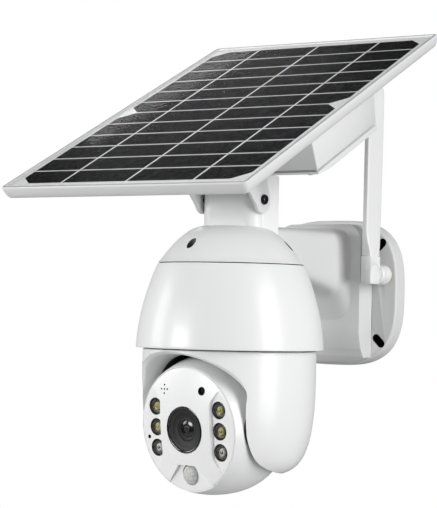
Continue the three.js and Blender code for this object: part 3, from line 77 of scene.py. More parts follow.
class Nodes:
    """A short way to write one material's nodes."""

    def __init__(self, name):
        self.material = bpy.data.materials.new(name)
        self.material.use_nodes = True
        self.tree = self.material.node_tree
        self.shader = next(n for n in self.tree.nodes if n.type == "BSDF_PRINCIPLED")
        self.place = self.node("ShaderNodeTexCoord").outputs["Object"]

    def node(self, kind, **settings):
        made = self.tree.nodes.new(kind)
        for key, value in settings.items():
            setattr(made, key, value)
        return made

    def link(self, output, socket):
        self.tree.links.new(output, socket)

    def set(self, **values):
        for key, value in values.items():
            self.shader.inputs[key.replace("_", " ")].default_value = value

    def noise(self, scale, detail=2.0, roughness=0.5, stretch=None):
        place = self.place
        if stretch:
            mapping = self.node("ShaderNodeMapping")
            mapping.inputs["Scale"].default_value = stretch
            self.link(place, mapping.inputs["Vector"])
            place = mapping.outputs["Vector"]
        made = self.node("ShaderNodeTexNoise")
        made.inputs["Scale"].default_value = scale
        made.inputs["Detail"].default_value = detail
        made.inputs["Roughness"].default_value = roughness
        self.link(place, made.inputs["Vector"])
        return made.outputs["Fac"]

    def spread(self, value, low, high, start=0.3, end=0.7):
        made = self.node("ShaderNodeMapRange")
        made.inputs["From Min"].default_value = start
        made.inputs["From Max"].default_value = end
        made.inputs["To Min"].default_value = low
        made.inputs["To Max"].default_value = high
        self.link(value, made.inputs["Value"])
        return made.outputs["Result"]

    def blend(self, value, first, second):
        made = self.node("ShaderNodeMix", data_type="RGBA")
        self.link(value, made.inputs[0])
        for socket, colour in ((made.inputs[6], first), (made.inputs[7], second)):
            if hasattr(colour, "links"):
                self.link(colour, socket)
            else:
                socket.default_value = (*colour, 1)
        return made.outputs[2]

    def bump(self, height, strength, distance, under=None):
        made = self.node("ShaderNodeBump")
        made.inputs["Strength"].default_value = strength
        made.inputs["Distance"].default_value = distance * MM
        self.link(height, made.inputs["Height"])
        if under:
            self.link(under, made.inputs["Normal"])
        return made.outputs["Normal"]


def plastic(name, colour, roughness, grain=0.25, grain_depth=0.02, coat=0.0, drift=0.02):
    """Moulded plastic: fine spark-erosion grain, a slow drift of tone and of gloss."""
    m = Nodes(name)
    tone = m.noise(14, 3)
    deep = tuple(max(c * (1 - drift) - drift * 0.1, 0) for c in colour)
    m.link(m.blend(m.spread(tone, 0, 1), deep, colour), m.shader.inputs["Base Color"])
    gloss = m.noise(55, 4, 0.6)
    m.link(m.spread(gloss, roughness * 0.88, roughness * 1.14), m.shader.inputs["Roughness"])
    fine = m.bump(m.noise(1 / (grain * MM), 2, 0.6), 0.35, grain_depth)
    ripple = m.bump(m.noise(38, 1), 0.12, 0.25, fine)
    m.link(ripple, m.shader.inputs["Normal"])
    m.set(IOR=1.5, Coat_Weight=coat, Coat_Roughness=0.12)
    return m.material


def metal(name, colour, roughness, stretch=(1, 1, 40), scale=60, depth=0.02):
    """Metal with drawn or turned marks along one direction."""
    m = Nodes(name)
    marks = m.noise(scale, 5, 0.65, stretch)
    dull = tuple(c * 0.78 for c in colour)
    m.link(m.blend(m.spread(marks, 0, 1), dull, colour), m.shader.inputs["Base Color"])
    m.link(m.spread(marks, roughness * 0.75, roughness * 1.3), m.shader.inputs["Roughness"])
    m.link(m.bump(marks, 0.4, depth), m.shader.inputs["Normal"])
    m.set(Metallic=1.0)
    return m.material


def circuit_board(name):
    """Green solder mask with lighter tracks and small pale pads."""
    m = Nodes(name)
    cells = m.node("ShaderNodeTexVoronoi", distance="MANHATTAN", feature="DISTANCE_TO_EDGE")
    cells.inputs["Scale"].default_value = 260
    m.link(m.place, cells.inputs["Vector"])
    pads = m.node("ShaderNodeTexVoronoi", distance="CHEBYCHEV")
    pads.inputs["Scale"].default_value = 190
    m.link(m.place, pads.inputs["Vector"])
    tracks = m.spread(cells.outputs["Distance"], 1, 0, 0.02, 0.05)
    mask = m.blend(tracks, (0.012, 0.09, 0.035), (0.03, 0.2, 0.08))
    dots = m.spread(pads.outputs["Distance"], 1, 0, 0.1, 0.13)
    m.link(m.blend(dots, mask, (0.62, 0.6, 0.52)), m.shader.inputs["Base Color"])
    m.link(m.bump(tracks, 0.4, 0.05), m.shader.inputs["Normal"])
    m.link(m.spread(m.noise(300), 0.28, 0.42), m.shader.inputs["Roughness"])
    return m.material


def foam(name):
    m = Nodes(name)
    cells = m.node("ShaderNodeTexVoronoi")
    cells.inputs["Scale"].default_value = 1600
    m.link(m.place, cells.inputs["Vector"])
    m.link(m.blend(cells.outputs["Distance"], (0.012, 0.012, 0.013), (0.04, 0.04, 0.043)),
           m.shader.inputs["Base Color"])
    m.link(m.bump(cells.outputs["Distance"], 0.8, 0.2), m.shader.inputs["Normal"])
    m.link(m.spread(m.noise(200), 0.85, 0.98), m.shader.inputs["Roughness"])
    return m.material


def wafer(name):
    """Dark monocrystalline silicon with hair-fine silver fingers across each strip."""
    m = Nodes(name)
    wave = m.node("ShaderNodeTexWave", wave_type="BANDS", bands_direction="X", wave_profile="SIN")
    wave.inputs["Scale"].default_value = 1 / (1.5 * MM) / 20
    wave.inputs["Distortion"].default_value = 0
    m.link(m.place, wave.inputs["Vector"])
    fingers = m.spread(wave.outputs["Fac"], 0, 0.1, 0.93, 1.0)
    sheen = m.blend(m.spread(m.noise(9, 2), 0, 1), (0.0015, 0.0016, 0.002), (0.003, 0.003, 0.0038))
    crystal = m.blend(m.spread(m.noise(900, 1), 0, 0.5), sheen, (0.005, 0.005, 0.006))
    m.link(m.blend(fingers, crystal, (0.03, 0.03, 0.032)), m.shader.inputs["Base Color"])
    m.link(m.spread(m.noise(120, 3), 0.24, 0.3), m.shader.inputs["Roughness"])
    m.link(m.bump(m.noise(2400, 1), 0.1, 0.002), m.shader.inputs["Normal"])
    m.set(Specular_IOR_Level=0.002)
    return m.material


def back_sheet(name):
    """White backing seen between wafers, with a fine sparkle from the textured glass over it."""
    m = Nodes(name)
    sparkle = m.noise(1500, 2, 0.7)
    m.link(m.blend(m.spread(sparkle, 0, 1, 0.35, 0.65), (0.66, 0.665, 0.67), (0.9, 0.905, 0.91)),
           m.shader.inputs["Base Color"])
    m.link(m.bump(sparkle, 0.25, 0.02), m.shader.inputs["Normal"])
    m.link(m.spread(m.noise(80), 0.3, 0.4), m.shader.inputs["Roughness"])
    return m.material


def clear(name, tint, alpha, roughness=0.03):
    m = Nodes(name)
    dust = m.noise(40, 4)
    m.link(m.spread(dust, roughness, roughness * 2.2), m.shader.inputs["Roughness"])
    m.link(m.blend(m.spread(dust, 0, 1), tint, tuple(c * 0.97 for c in tint)),
           m.shader.inputs["Base Color"])
    m.set(Alpha=alpha, IOR=1.5)
    return m.material


def phosphor(name, core, rim, glow):
    """A lamp's chip under its clear dome: a bright ring round a deeper centre."""
    m = Nodes(name)
    grain = m.noise(2600, 2)
    m.link(m.blend(m.spread(grain, 0, 1), core, rim), m.shader.inputs["Base Color"])
    m.link(m.bump(grain, 0.3, 0.05), m.shader.inputs["Normal"])
    m.link(m.spread(m.noise(700), 0.25, 0.4), m.shader.inputs["Roughness"])
    m.set(Coat_Weight=1.0, Coat_Roughness=0.04, Emission_Color=(*rim, 1), Emission_Strength=glow)
    return m.material


def fresnel_dome(name):
    """Milky film dome pressed with small facets."""
    m = Nodes(name)
    facets = m.node("ShaderNodeTexVoronoi", feature="DISTANCE_TO_EDGE")
    facets.inputs["Scale"].default_value = 330
    m.link(m.place, facets.inputs["Vector"])
    lines = m.spread(facets.outputs["Distance"], 0, 1, 0.0, 0.12)
    m.link(m.blend(lines, (0.44, 0.44, 0.43), (0.64, 0.64, 0.63)), m.shader.inputs["Base Color"])
    m.link(m.bump(lines, 0.6, 0.15), m.shader.inputs["Normal"])
    m.link(m.spread(m.noise(160), 0.32, 0.5), m.shader.inputs["Roughness"])
    m.set(Subsurface_Weight=0.25, Subsurface_Scale=0.002)
    return m.material


WHITE = plastic("shell_white_abs", (0.86, 0.862, 0.866), 0.34, coat=0.12)
# A darker copy of the white shell plastic: painted shade on the wall plate, pillar and arm.
BRACKET_SHADED_WHITE = plastic("bracket_white_painted_shade", (0.71, 0.712, 0.716), 0.4, grain=0.35)
# A lighter copy of the white shell plastic: painted light on the panel post and its rib.
POST_LIT_WHITE = plastic("post_white_painted_light", (0.88, 0.882, 0.886), 0.4, grain=0.35)
# A darker copy of the white shell plastic: painted shade on the panel frame, hinge and battery box.
FRAME_SHADED_WHITE = plastic("frame_white_painted_shade", (0.77, 0.772, 0.776), 0.36, coat=0.08)
# A lighter copy of the white shell plastic: painted light on the face plate.
FACE_LIT_WHITE = plastic("face_white_painted_light", (0.93, 0.932, 0.935), 0.34, coat=0.1)
# Near-black stand-in for shade: painted shade in wells, gaps, seams and the head's flats.
PAINTED_SHADE_DARK = plastic("painted_shade_dark", (0.05, 0.05, 0.052), 0.6)
DARK = plastic("dark_plastic", (0.018, 0.018, 0.02), 0.5)
CONE_GREY = plastic("cone_grey", (0.007, 0.007, 0.0075), 0.6, grain=0.15)
GLOSS_BLACK = plastic("gloss_black", (0.006, 0.006, 0.007), 0.14, grain=0.6, grain_depth=0.004, coat=0.8)
BLACK_STEEL = metal("black_oxide_steel", (0.035, 0.035, 0.038), 0.32)
STEEL = metal("brushed_steel", (0.56, 0.57, 0.58), 0.3)
BRASS = metal("brass", (0.72, 0.55, 0.24), 0.28)
REFLECTOR = metal("lamp_reflector", (0.19, 0.175, 0.15), 0.24, scale=400)
FOAM = foam("closed_cell_foam")
RUBBER = plastic("rubber_black", (0.022, 0.022, 0.024), 0.78, grain=0.5)
GASKET = plastic("gasket_grey", (0.55, 0.55, 0.55), 0.8)
# Grey for the frame's lip top: painted shade of the inner lip wall.
LIP_PAINTED_SHADE = plastic("lip_painted_shade", (0.42, 0.42, 0.425), 0.55)
BOARD = circuit_board("circuit_board")
CELL_WRAP = plastic("cell_wrap", (0.07, 0.28, 0.55), 0.28, grain=1.4, coat=0.5)
GEAR = plastic("acetal", (0.72, 0.69, 0.62), 0.42)
BUTTON = plastic("button_grey", (0.2, 0.21, 0.22), 0.65)
WAFER = wafer("solar_wafer")
BACK_SHEET = back_sheet("solar_back_sheet")
PANEL_GLASS = clear("panel_glass", (0.02, 0.024, 0.024), 0.04)
LENS_GLASS = plastic("coated_lens_glass", (0.004, 0.004, 0.006), 0.16, grain=2.0, grain_depth=0.002,
                     coat=0.2)
LENS_CORE = plastic("lens_core", (0.02, 0.02, 0.022), 0.3, grain=2.0, grain_depth=0.002, coat=0.2)
YELLOW_CHIP = phosphor("lamp_yellow", (0.34, 0.33, 0.1), (0.6, 0.58, 0.26), 0.02)
YELLOW_CORE = phosphor("lamp_yellow_core", (0.12, 0.125, 0.03), (0.3, 0.3, 0.08), 0.0)
CLEAR_CHIP = phosphor("lamp_clear", (0.42, 0.43, 0.44), (0.82, 0.83, 0.84), 0.02)
CLEAR_CORE = phosphor("lamp_clear_core", (0.05, 0.05, 0.052), (0.14, 0.14, 0.145), 0.0)
FROST = fresnel_dome("frosted_dome")

SLOT_FINISH = {
    "shell_white": WHITE, "bracket_white": BRACKET_SHADED_WHITE, "frame_white": FRAME_SHADED_WHITE,
    "dark_plastic": DARK, "gloss_black": GLOSS_BLACK, "black_steel": BLACK_STEEL,
    "steel": STEEL, "brass": BRASS, "foam": FOAM, "rubber": RUBBER, "solar_cells": BACK_SHEET,
    "panel_glass": PANEL_GLASS, "circuit_board": BOARD, "cell_wrap": CELL_WRAP,
    "gear_plastic": GEAR, "lamp_yellow": YELLOW_CHIP, "lamp_clear": CLEAR_CHIP,
    "lens_glass": LENS_GLASS, "frosted": FROST, "button_grey": BUTTON,
}
slot_of = {part["node"]: part["material_slot"] for part in frame["record"]["subparts"]}
for name, node in frame["nodes"].items():
    for material_slot in node.material_slots:
        material_slot.material = SLOT_FINISH[slot_of[name]]
for material_slot in frame["nodes"]["lid_gasket"].material_slots:
    material_slot.material = GASKET

# ---------------------------------------------------------------- mesh helpers


def new_piece(name, bm, place, body, material, stands_for=(), smooth=32):
    bmesh.ops.recalc_face_normals(bm, faces=bm.faces)
    bmesh.ops.scale(bm, vec=(MM, MM, MM), verts=bm.verts)
    mesh = bpy.data.meshes.new(name)
    bm.to_mesh(mesh)
    bm.free()
    mesh.materials.append(material)
    piece = bpy.data.objects.new(name, mesh)
    scene.collection.objects.link(piece)
    piece.matrix_world = place
    shade(piece, smooth)
    bpy.context.view_layer.update()
    if body:
        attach(piece, body)
        if stands_for:
            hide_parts(*stands_for)
    return piece


def shade(piece, angle):
    mesh = piece.data
    mesh.polygons.foreach_set("use_smooth", [True] * len(mesh.polygons))
    mesh.set_sharp_from_angle(angle=math.radians(angle))


def applied(piece, smooth=32):
    """Makes the piece's modifiers part of its mesh."""
    shown = bpy.context.evaluated_depsgraph_get()
    mesh = bpy.data.meshes.new_from_object(piece.evaluated_get(shown))
    old = piece.data
    piece.modifiers.clear()
    piece.data = mesh
    bpy.data.meshes.remove(old)
    shade(piece, smooth)
    return piece


def paint(piece, material, inside):
    """Gives a second material to the faces whose middle, in millimetres, passes the test."""
    mesh = piece.data
    mesh.materials.append(material)
    slot = len(mesh.materials) - 1
    for face in mesh.polygons:
        if inside(face.center / MM):
            face.material_index = slot
    return piece


def boolean(piece, tool, operation="DIFFERENCE", smooth=32):
    cutter = piece.modifiers.new("boolean", "BOOLEAN")
    cutter.operation = operation
    cutter.solver = "EXACT"
    cutter.object = tool
    cutter.material_mode = "TRANSFER"
    bpy.context.view_layer.update()
    applied(piece, smooth)
    mesh = tool.data
    bpy.data.objects.remove(tool)
    bpy.data.meshes.remove(mesh)
    return piece


def tool(bm, place, material):
    return new_piece("tool", bm, place, None, material)


def bevelled(piece, width, segments=3, angle=30, smooth=32):
    rounding = piece.modifiers.new("bevel", "BEVEL")
    rounding.width = width * MM
    rounding.segments = segments
    rounding.limit_method = "ANGLE"
    rounding.angle_limit = math.radians(angle)
    rounding.use_clamp_overlap = True
    rounding.harden_normals = True
    bpy.context.view_layer.update()
    return applied(piece, smooth)


def soften(points, radius, steps=5, closed=True):
    """The outline with its corners rounded; radius is one number or one for each corner."""
    count = len(points)
    made = []
    for i, (x, y) in enumerate(points):
        r = radius[i] if isinstance(radius, (list, tuple)) else radius
        if r <= 0 or (not closed and i in (0, count - 1)):
            made.append((x, y))
            continue
        here = Vector((x, y))
        before = Vector(points[i - 1]) - here
        after = Vector(points[(i + 1) % count]) - here
        half = before.angle(after) / 2
        reach = min(r / math.tan(half), before.length * 0.48, after.length * 0.48)
        start = here + before.normalized() * reach
        end = here + after.normalized() * reach
        for k in range(steps + 1):
            t = k / steps
            spot = start * (1 - t) ** 2 + here * 2 * t * (1 - t) + end * t * t
            made.append((spot.x, spot.y))
    return made


def lathe(profile, segments=128, closed=False):
    """Turned shape about Z from (radius, height) points."""
    bm = bmesh.new()
    rings = []
    for r, z in profile:
        count = 1 if r < 1e-6 else segments
        rings.append([bm.verts.new((r * math.cos(2 * math.pi * i / segments),
                                    r * math.sin(2 * math.pi * i / segments), z))
                      for i in range(count)])
    pairs = list(zip(rings, rings[1:]))
    if closed:
        pairs.append((rings[-1], rings[0]))
    for low, high in pairs:
        for i in range(segments):
            j = (i + 1) % segments
            corners = [low[i % len(low)], low[j % len(low)], high[j % len(high)], high[i % len(high)]]
            unique = list(dict.fromkeys(corners))
            if len(unique) > 2:
                bm.faces.new(unique)
    return bm


def skin(rings):
    """Closed skin through rings of points, with a flat cap on each end."""
    bm = bmesh.new()
    rows = [[bm.verts.new(p) for p in ring] for ring in rings]
    count = len(rows[0])
    for low, high in zip(rows, rows[1:]):
        for i in range(count):
            j = (i + 1) % count
            bm.faces.new((low[i], low[j], high[j], high[i]))
    bm.faces.new(list(reversed(rows[0])))
    bm.faces.new(rows[-1])
    return bm


def prism(outline, low, high):
    return skin([[(x, y, low) for x, y in outline], [(x, y, high) for x, y in outline]])


def prism_x(outline, x0, x1):
    """An outline in YZ pushed along X."""
    return skin([[(x, y, z) for y, z in outline] for x in (x0, x1)])


def prism_y(outline, y0, y1):
    """An outline in XZ pushed along Y."""
    return skin([[(x, y, z) for x, z in outline] for y in (y0, y1)])


def block(x0, x1, y0, y1, z0, z1):
    return prism([(x0, y0), (x1, y0), (x1, y1), (x0, y1)], z0, z1)


def rod(radius, low, high, segments=48):
    return lathe([(0, low), (radius, low), (radius, high), (0, high)], segments)


def moved(bm, matrix):
    """The mesh turned or shifted by a matrix whose shift is in metres."""
    scaled = matrix.copy()
    scaled.translation = matrix.translation / MM
    bmesh.ops.transform(bm, matrix=scaled, verts=bm.verts)
    return bm


def joined(*parts):
    """Several meshes as one."""
    whole = parts[0]
    for part in parts[1:]:
        mesh = bpy.data.meshes.new("joining")
        part.to_mesh(mesh)
        part.free()
        whole.from_mesh(mesh)
        bpy.data.meshes.remove(mesh)
    return whole


def oval(half_width, half_height, power, segments=128):
    points = []
    for i in range(segments):
        a = 2 * math.pi * i / segments
        c, s = math.cos(a), math.sin(a)
        points.append((math.copysign(half_width * abs(c) ** (2 / power), c),
                       math.copysign(half_height * abs(s) ** (2 / power), s)))
    return points


def rounded_rect(x0, x1, y0, y1, corner, steps=8):
    points = []
    for cx, cy, start in ((x1 - corner, y0 + corner, -90), (x1 - corner, y1 - corner, 0),
                          (x0 + corner, y1 - corner, 90), (x0 + corner, y0 + corner, 180)):
        for k in range(steps + 1):
            a = math.radians(start + 90 * k / steps)
            points.append((cx + corner * math.cos(a), cy + corner * math.sin(a)))
    return points


def smooth_rows(stations, steps):
    """More rows between stations, along a curve through them."""
    rows = []
    last = len(stations) - 1
    for i in range(last):
        before, here, after, beyond = (stations[min(max(i + k, 0), last)] for k in (-1, 0, 1, 2))
        for k in range(steps):
            t = k / steps
            rows.append([0.5 * (2 * b + (c - a) * t + (2 * a - 5 * b + 4 * c - d) * t * t
                                + (3 * b - a - 3 * c + d) * t ** 3)
                         for a, b, c, d in zip(before, here, after, beyond)])
    rows.append(list(stations[last]))
    return rows


# ---------------------------------------------------------------- camera, floor and lights

AZIMUTH = math.radians(32.4)
ELEVATION = math.radians(-1.664)
ROLL = math.radians(1.179)
right = Vector((math.cos(AZIMUTH), math.sin(AZIMUTH), 0))
back = Vector((math.sin(AZIMUTH) * math.cos(ELEVATION), -math.cos(AZIMUTH) * math.cos(ELEVATION),
               math.sin(ELEVATION)))
up = back.cross(right)
camera_data = bpy.data.cameras.new("camera")
camera_data.lens = 132.73
camera_data.sensor_width = 36
camera_data.clip_end = 50
camera = bpy.data.objects.new("camera", camera_data)
scene.collection.objects.link(camera)
turned_right = right * math.cos(ROLL) + up * math.sin(ROLL)
turned_up = up * math.cos(ROLL) - right * math.sin(ROLL)
camera.matrix_world = Matrix.Translation((0.6833, -1.2504, -0.0138)) @ Matrix(
    (turned_right, turned_up, back)).transposed().to_4x4()
scene.camera = camera

scene.view_settings.view_transform = "Standard"
scene.view_settings.look = "None"

world = bpy.data.worlds.new("studio")
scene.world = world
world.use_nodes = True
sky = world.node_tree
background = sky.nodes["Background"]
direction = sky.nodes.new("ShaderNodeTexCoord")
split = sky.nodes.new("ShaderNodeSeparateXYZ")
ramp = sky.nodes.new("ShaderNodeValToRGB")
height = sky.nodes.new("ShaderNodeMapRange")
height.inputs["From Min"].default_value = -1
sky.links.new(direction.outputs["Generated"], split.inputs["Vector"])
sky.links.new(split.outputs["Z"], height.inputs["Value"])
sky.links.new(height.outputs["Result"], ramp.inputs["Fac"])
tones = [(0.0, 0.05), (0.35, 0.07), (0.47, 0.16), (0.53, 0.24), (0.7, 0.24), (1.0, 0.36)]
while len(ramp.color_ramp.elements) < len(tones):
    ramp.color_ramp.elements.new(0.5)
for element, (position, tone) in zip(ramp.color_ramp.elements, tones):
    element.position = position
    element.color = (tone, tone, tone, 1)
white = sky.nodes.new("ShaderNodeBackground")
white.inputs["Color"].default_value = (1, 1, 1, 1)
path = sky.nodes.new("ShaderNodeLightPath")
choice = sky.nodes.new("ShaderNodeMixShader")
sky.links.new(ramp.outputs["Color"], background.inputs["Color"])
sky.links.new(path.outputs["Is Camera Ray"], choice.inputs["Fac"])
sky.links.new(background.outputs["Background"], choice.inputs[1])
sky.links.new(white.outputs["Background"], choice.inputs[2])
sky.links.new(choice.outputs["Shader"], sky.nodes["World Output"].inputs["Surface"])


def area_light(name, spot, target, width, tall, watts):
    data = bpy.data.lights.new(name, "AREA")
    data.shape = "RECTANGLE"
    data.size = width
    data.size_y = tall
    data.energy = watts
    light = bpy.data.objects.new(name, data)
    scene.collection.objects.link(light)
    light.location = spot
    aim = Vector(target) - Vector(spot)
    light.rotation_euler = aim.to_track_quat("-Z", "Y").to_euler()
    return light


area_light("front_softbox", (-0.75, -1.45, 0.13), (0, -0.16, -0.02), 0.6, 0.4, 11)
area_light("left_softbox", (-1.35, -0.75, 0.3), (0, -0.16, 0), 0.5, 0.7, 6)
area_light("right_softbox", (1.35, -0.3, 0.25), (0.02, -0.13, 0.03), 0.6, 1.3, 17)
area_light("top_softbox", (-0.2, -0.5, 1.3), (0, -0.15, 0), 1.0, 1.0, 3)
area_light("cell_softbox", (-1.2, 1.25, 1.15), (0, -0.1, 0.15), 0.55, 0.4, 3.2)

floor_bm = lathe([(0, -403), (796, -403), (800, -401.5), (796, -400), (0, -400)], 96)
FLOOR = plastic("pale_floor", (0.45, 0.45, 0.45), 0.7, grain=3.0)
floor = new_piece("floor", floor_bm, shift(0, -REACH, 0), None, FLOOR)

# ---------------------------------------------------------------- wall plate and bracket

PLATE_X, PLATE_Z = 55.5, 54.5
SLOT_X, SLOT_Z = 41.0, 35.4


def slot_tool(width, length, y0, y1, side_x, side_z, material):
    half = length / 2
    outline = rounded_rect(-half, half, -width / 2, width / 2, width / 2 - 0.02, 10)
    angle = math.atan2(side_z, side_x)
    spun = [(x * math.cos(angle) - z * math.sin(angle) + side_x * SLOT_X,
             x * math.sin(angle) + z * math.cos(angle) + side_z * SLOT_Z) for x, z in outline]
    return tool(prism_y(spun, y0, y1), WORLD, material)


rows = [(-2.3, 0.0), (-2.9, 0.0), (-6, 0.12), (-10, 0.3), (-13.2, 0.5), (-13.9, 0.62), (-14.5, 0.95),
        (-14.85, 1.4), (-15.0, 2.0)]
plate = new_piece("plate_shell",
                  skin([[(x, y, z) for x, z in oval(PLATE_X - inset, PLATE_Z - inset, 3, 160)]
                                       for y, inset in rows]),
                  WORLD, "bracket", BRACKET_SHADED_WHITE, ["wall_plate"])
# The slot walls take the dark plastic: painted shade in the mounting slots.
for side_x in (-1, 1):
    for side_z in (-1, 1):
        boolean(plate, slot_tool(6, 11.5, -20, 1, side_x, side_z, DARK))
bevelled(plate, 0.5, 3, 50)

pad_outline = oval(PLATE_X - 2, PLATE_Z - 2, 3, 96)
pad = new_piece("pad_foam", prism_y(pad_outline, -2.0, 0), WORLD, "bracket", FOAM, ["wall_pad"])
bevelled(pad, 0.4, 2, 50)

BACK, FRONT, TOP, BOTTOM, TOE = -15.3, -35.0, 50.5, -53.5, 28.0
side = [(BACK, BOTTOM), (BACK, TOP)]
side += [(y, z) for y, z in soften([(BACK, TOP), (FRONT, TOP), (FRONT, 0)], 4.5, 6, False)[1:-1]]
for k in range(17):
    a = math.radians(180 + 90 * k / 16)
    side.append((BACK + (BACK - FRONT) * math.cos(a), BOTTOM + TOE + TOE * math.sin(a)))
pillar = new_piece("bracket_pillar", prism_x(side[:-1], -35, 35), WORLD, "bracket", BRACKET_SHADED_WHITE,
                   ["bracket_arm"])
outline = rounded_rect(-35, 35, -90, TOP, 13, 12)
boolean(pillar, tool(prism_y(outline, FRONT - 5, BACK + 5), WORLD, BRACKET_SHADED_WHITE), "INTERSECT")
trim = oval(PLATE_X - 1.5, PLATE_Z - 1.2, 3, 128)
boolean(pillar, tool(prism_y(trim, FRONT - 6, BACK + 6), WORLD, BRACKET_SHADED_WHITE), "INTERSECT")
bevelled(pillar, 0.9, 4, 35)

# The arm: distance out from the wall, half width, top and underside.
arm_stations = [
    (33.5, 31.5, 48.6, -29), (34.2, 29.5, 48.3, -27), (35.4, 26.8, 47.2, -18.5), (38, 24.5, 46.2, -10.5),
    (42, 22.8, 45.4, -2.4), (50, 22.1, 45.1, 1), (60, 22, 45, 3), (85, 22, 45, 8), (105, 22, 44.6, 17.5),
    (125, 21.6, 44.0, 20), (148, 20.4, 43.2, 20.6),
]
rings = []
for out, half, top, under in smooth_rows(arm_stations, 5):
    ring = oval(half, (top - under) / 2, 5, 112)
    rings.append([(x, -out, (top + under) / 2 + z) for x, z in ring])
new_piece("bracket_beam", skin(rings), WORLD, "bracket", BRACKET_SHADED_WHITE, ["bracket_arm"], 40)


def cap_height(r):
    return 26.3 * (1 - (max(r - 19, 0) / (50.3 - 19)) ** 1.8)


cap_profile = [(0, 22), (44, 4), (46, 0.02), (49.4, 0.02), (49.45, 0.55), (49.9, 0.58), (50.15, 0.7),
               (50.28, 0.95)]
for k in range(33):
    r = 50.2 - 50.2 * k / 32
    if cap_height(r) > 1.2:
        cap_profile.append((r, cap_height(r)))
cap_profile.append((0, 26.3))
cap = new_piece("dome_cap", lathe(cap_profile, 160), DOME, "bracket", WHITE, ["bracket_arm"])
for k in range(3):
    angle = math.radians(-90 - 10.6 + 120 * k)
    x, y = 40 * math.cos(angle), 40 * math.sin(angle)
    base = cap_height(40) - 5
    well = lathe([(0, base), (3.2, base), (3.2, base + 4), (3.2, 40), (0, 40)], 40)
    # The well walls are painted dark: painted shade round each screw head.
    boolean(cap, tool(moved(well, shift(x, y, 0)), DOME, PAINTED_SHADE_DARK))
    head = lathe([(0, base + 0.2), (2.9, base + 0.2), (2.9, base + 1.0), (2.5, base + 1.7),
                  (1.6, base + 2.1),
                  (0, base + 2.25)], 40)
    screw = new_piece("cap_screw_head_%d" % (k + 1), moved(head, shift(x, y, 0)), DOME, "bracket",
                      BLACK_STEEL, ["cap_screw_%d" % (k + 1)])
    for spin in (0, 90):
        cross = moved(block(-1.6, 1.6, -0.32, 0.32, base + 1.1, base + 3),
                      shift(x, y, 0) @ turn(math.radians(spin + 20), "Z"))
        boolean(screw, tool(cross, DOME, BLACK_STEEL))
bevelled(cap, 0.35, 2, 40)
# The cap's foot is painted dark: a painted shadow line at the seam over the bell.
paint(cap, PAINTED_SHADE_DARK, lambda spot: spot.z < 0.57)

# ---------------------------------------------------------------- panel post and hinge

POST_X = 22.3
plan = [(POST_X, 2.7), (-POST_X, 2.7)]
post_outline = rounded_rect(-POST_X, POST_X, -8, 30, 9.8, 12)
plan += post_outline[27:]  # the front's left corner
plan += post_outline[:13]  # and its right one
post = new_piece("post_front", prism(plan, 21, 54), DOME, "bracket", POST_LIT_WHITE, ["panel_post"])
bevelled(post, 0.7, 3, 35)

rib = new_piece("post_rib", prism(rounded_rect(-POST_X, POST_X, 3, 27, 3, 6), 20, 62.5), DOME, "bracket",
                POST_LIT_WHITE, ["bracket_arm"])
bevelled(rib, 1.2, 4, 50)

for name, side in (("left", -1), ("right", 1)):
    head = lathe([(0, -9), (2, -9), (2, -0.05), (3.35, 0), (3.5, 0.25), (3.5, 1.1), (3.25, 1.75),
                  (2.6, 2.3),
                  (1.5, 2.62), (0, 2.7)], 48)
    place = DOME @ shift(side * 25.4, *HINGE[1:]) @ turn(side * math.pi / 2, "Y")
    bolt = new_piece("hinge_screw_" + name, head, place, "bracket", BLACK_STEEL, ["hinge_bolt_" + name])
    for spin in (25, 115):
        cross = moved(block(-2.0, 2.0, -0.42, 0.42, 1.2, 4), turn(math.radians(spin), "Z"))
        boolean(bolt, tool(cross, place, DARK))

ear = [(9.5 * math.cos(math.radians(180 + 180 * k / 28)), 9.5 * math.sin(math.radians(180 + 180 * k / 28)))
       for k in range(29)]
ear += soften([(9.5, 0), (10.5, 11.7), (-4.9, 15.3), (-4.9, 21.8), (-14.5, 21.8), (-14.5, 13), (-9.5, 0)],
              [0, 3, 2, 0, 0, 3, 0], 5, False)[1:-1]
for name, x0, x1 in (("left", -25.1, -22.6), ("right", 22.6, 25.1)):
    cheek = new_piece("hinge_ear_" + name, prism_x(ear, x0, x1), PANEL, "panel", FRAME_SHADED_WHITE,
                      ["hinge_yoke"])
    bevelled(cheek, 0.5, 3, 40)
neck = new_piece("hinge_neck", block(-25.1, 25.1, -14.5, -4.9, 11.5, 51.0), PANEL, "panel", FRAME_SHADED_WHITE,
                 ["hinge_yoke"])
bevelled(neck, 1.4, 4, 40)

# ---------------------------------------------------------------- solar panel

HALF_WIDTH, HALF_LENGTH, MIDDLE = 94.5, 144.5, 22.35


def panel_ring(inset, corner, z):
    outline = rounded_rect(-HALF_WIDTH + inset, HALF_WIDTH - inset, MIDDLE - HALF_LENGTH + inset,
                           MIDDLE + HALF_LENGTH - inset, corner, 8)
    return [(x, y, z) for x, y in outline]


frame_profile = [
    (2.7, 1.2, 57.0), (2.5, 1.3, 59.7), (2.3, 1.5, 60.0), (1.9, 1.8, 60.1), (1.0, 2.6, 60.1),
    (0.45, 3.1, 59.95),
    (0.12, 3.4, 59.6), (0, 3.5, 59.1), (0.1, 3.5, 58.0), (0.5, 3.3, 56.2), (1.15, 3.0, 54.2),
    (1.9, 2.7, 52.6),
    (2.6, 2.4, 51.7), (3.2, 2.2, 51.35), (4.0, 2.0, 51.3), (8.0, 2.0, 51.3), (8.5, 2.0, 51.45),
    (8.7, 2.0, 53.4), (9.2, 2.0, 53.7),
]
tray = new_piece("panel_tray", skin([panel_ring(*row) for row in frame_profile]), PANEL, "panel",
                 FRAME_SHADED_WHITE,
                 ["panel_frame"])

# A grey band painted on the lip's top: painted shade of the inner lip wall.
paint(tray, LIP_PAINTED_SHADE, lambda spot: spot.z > 60.02)

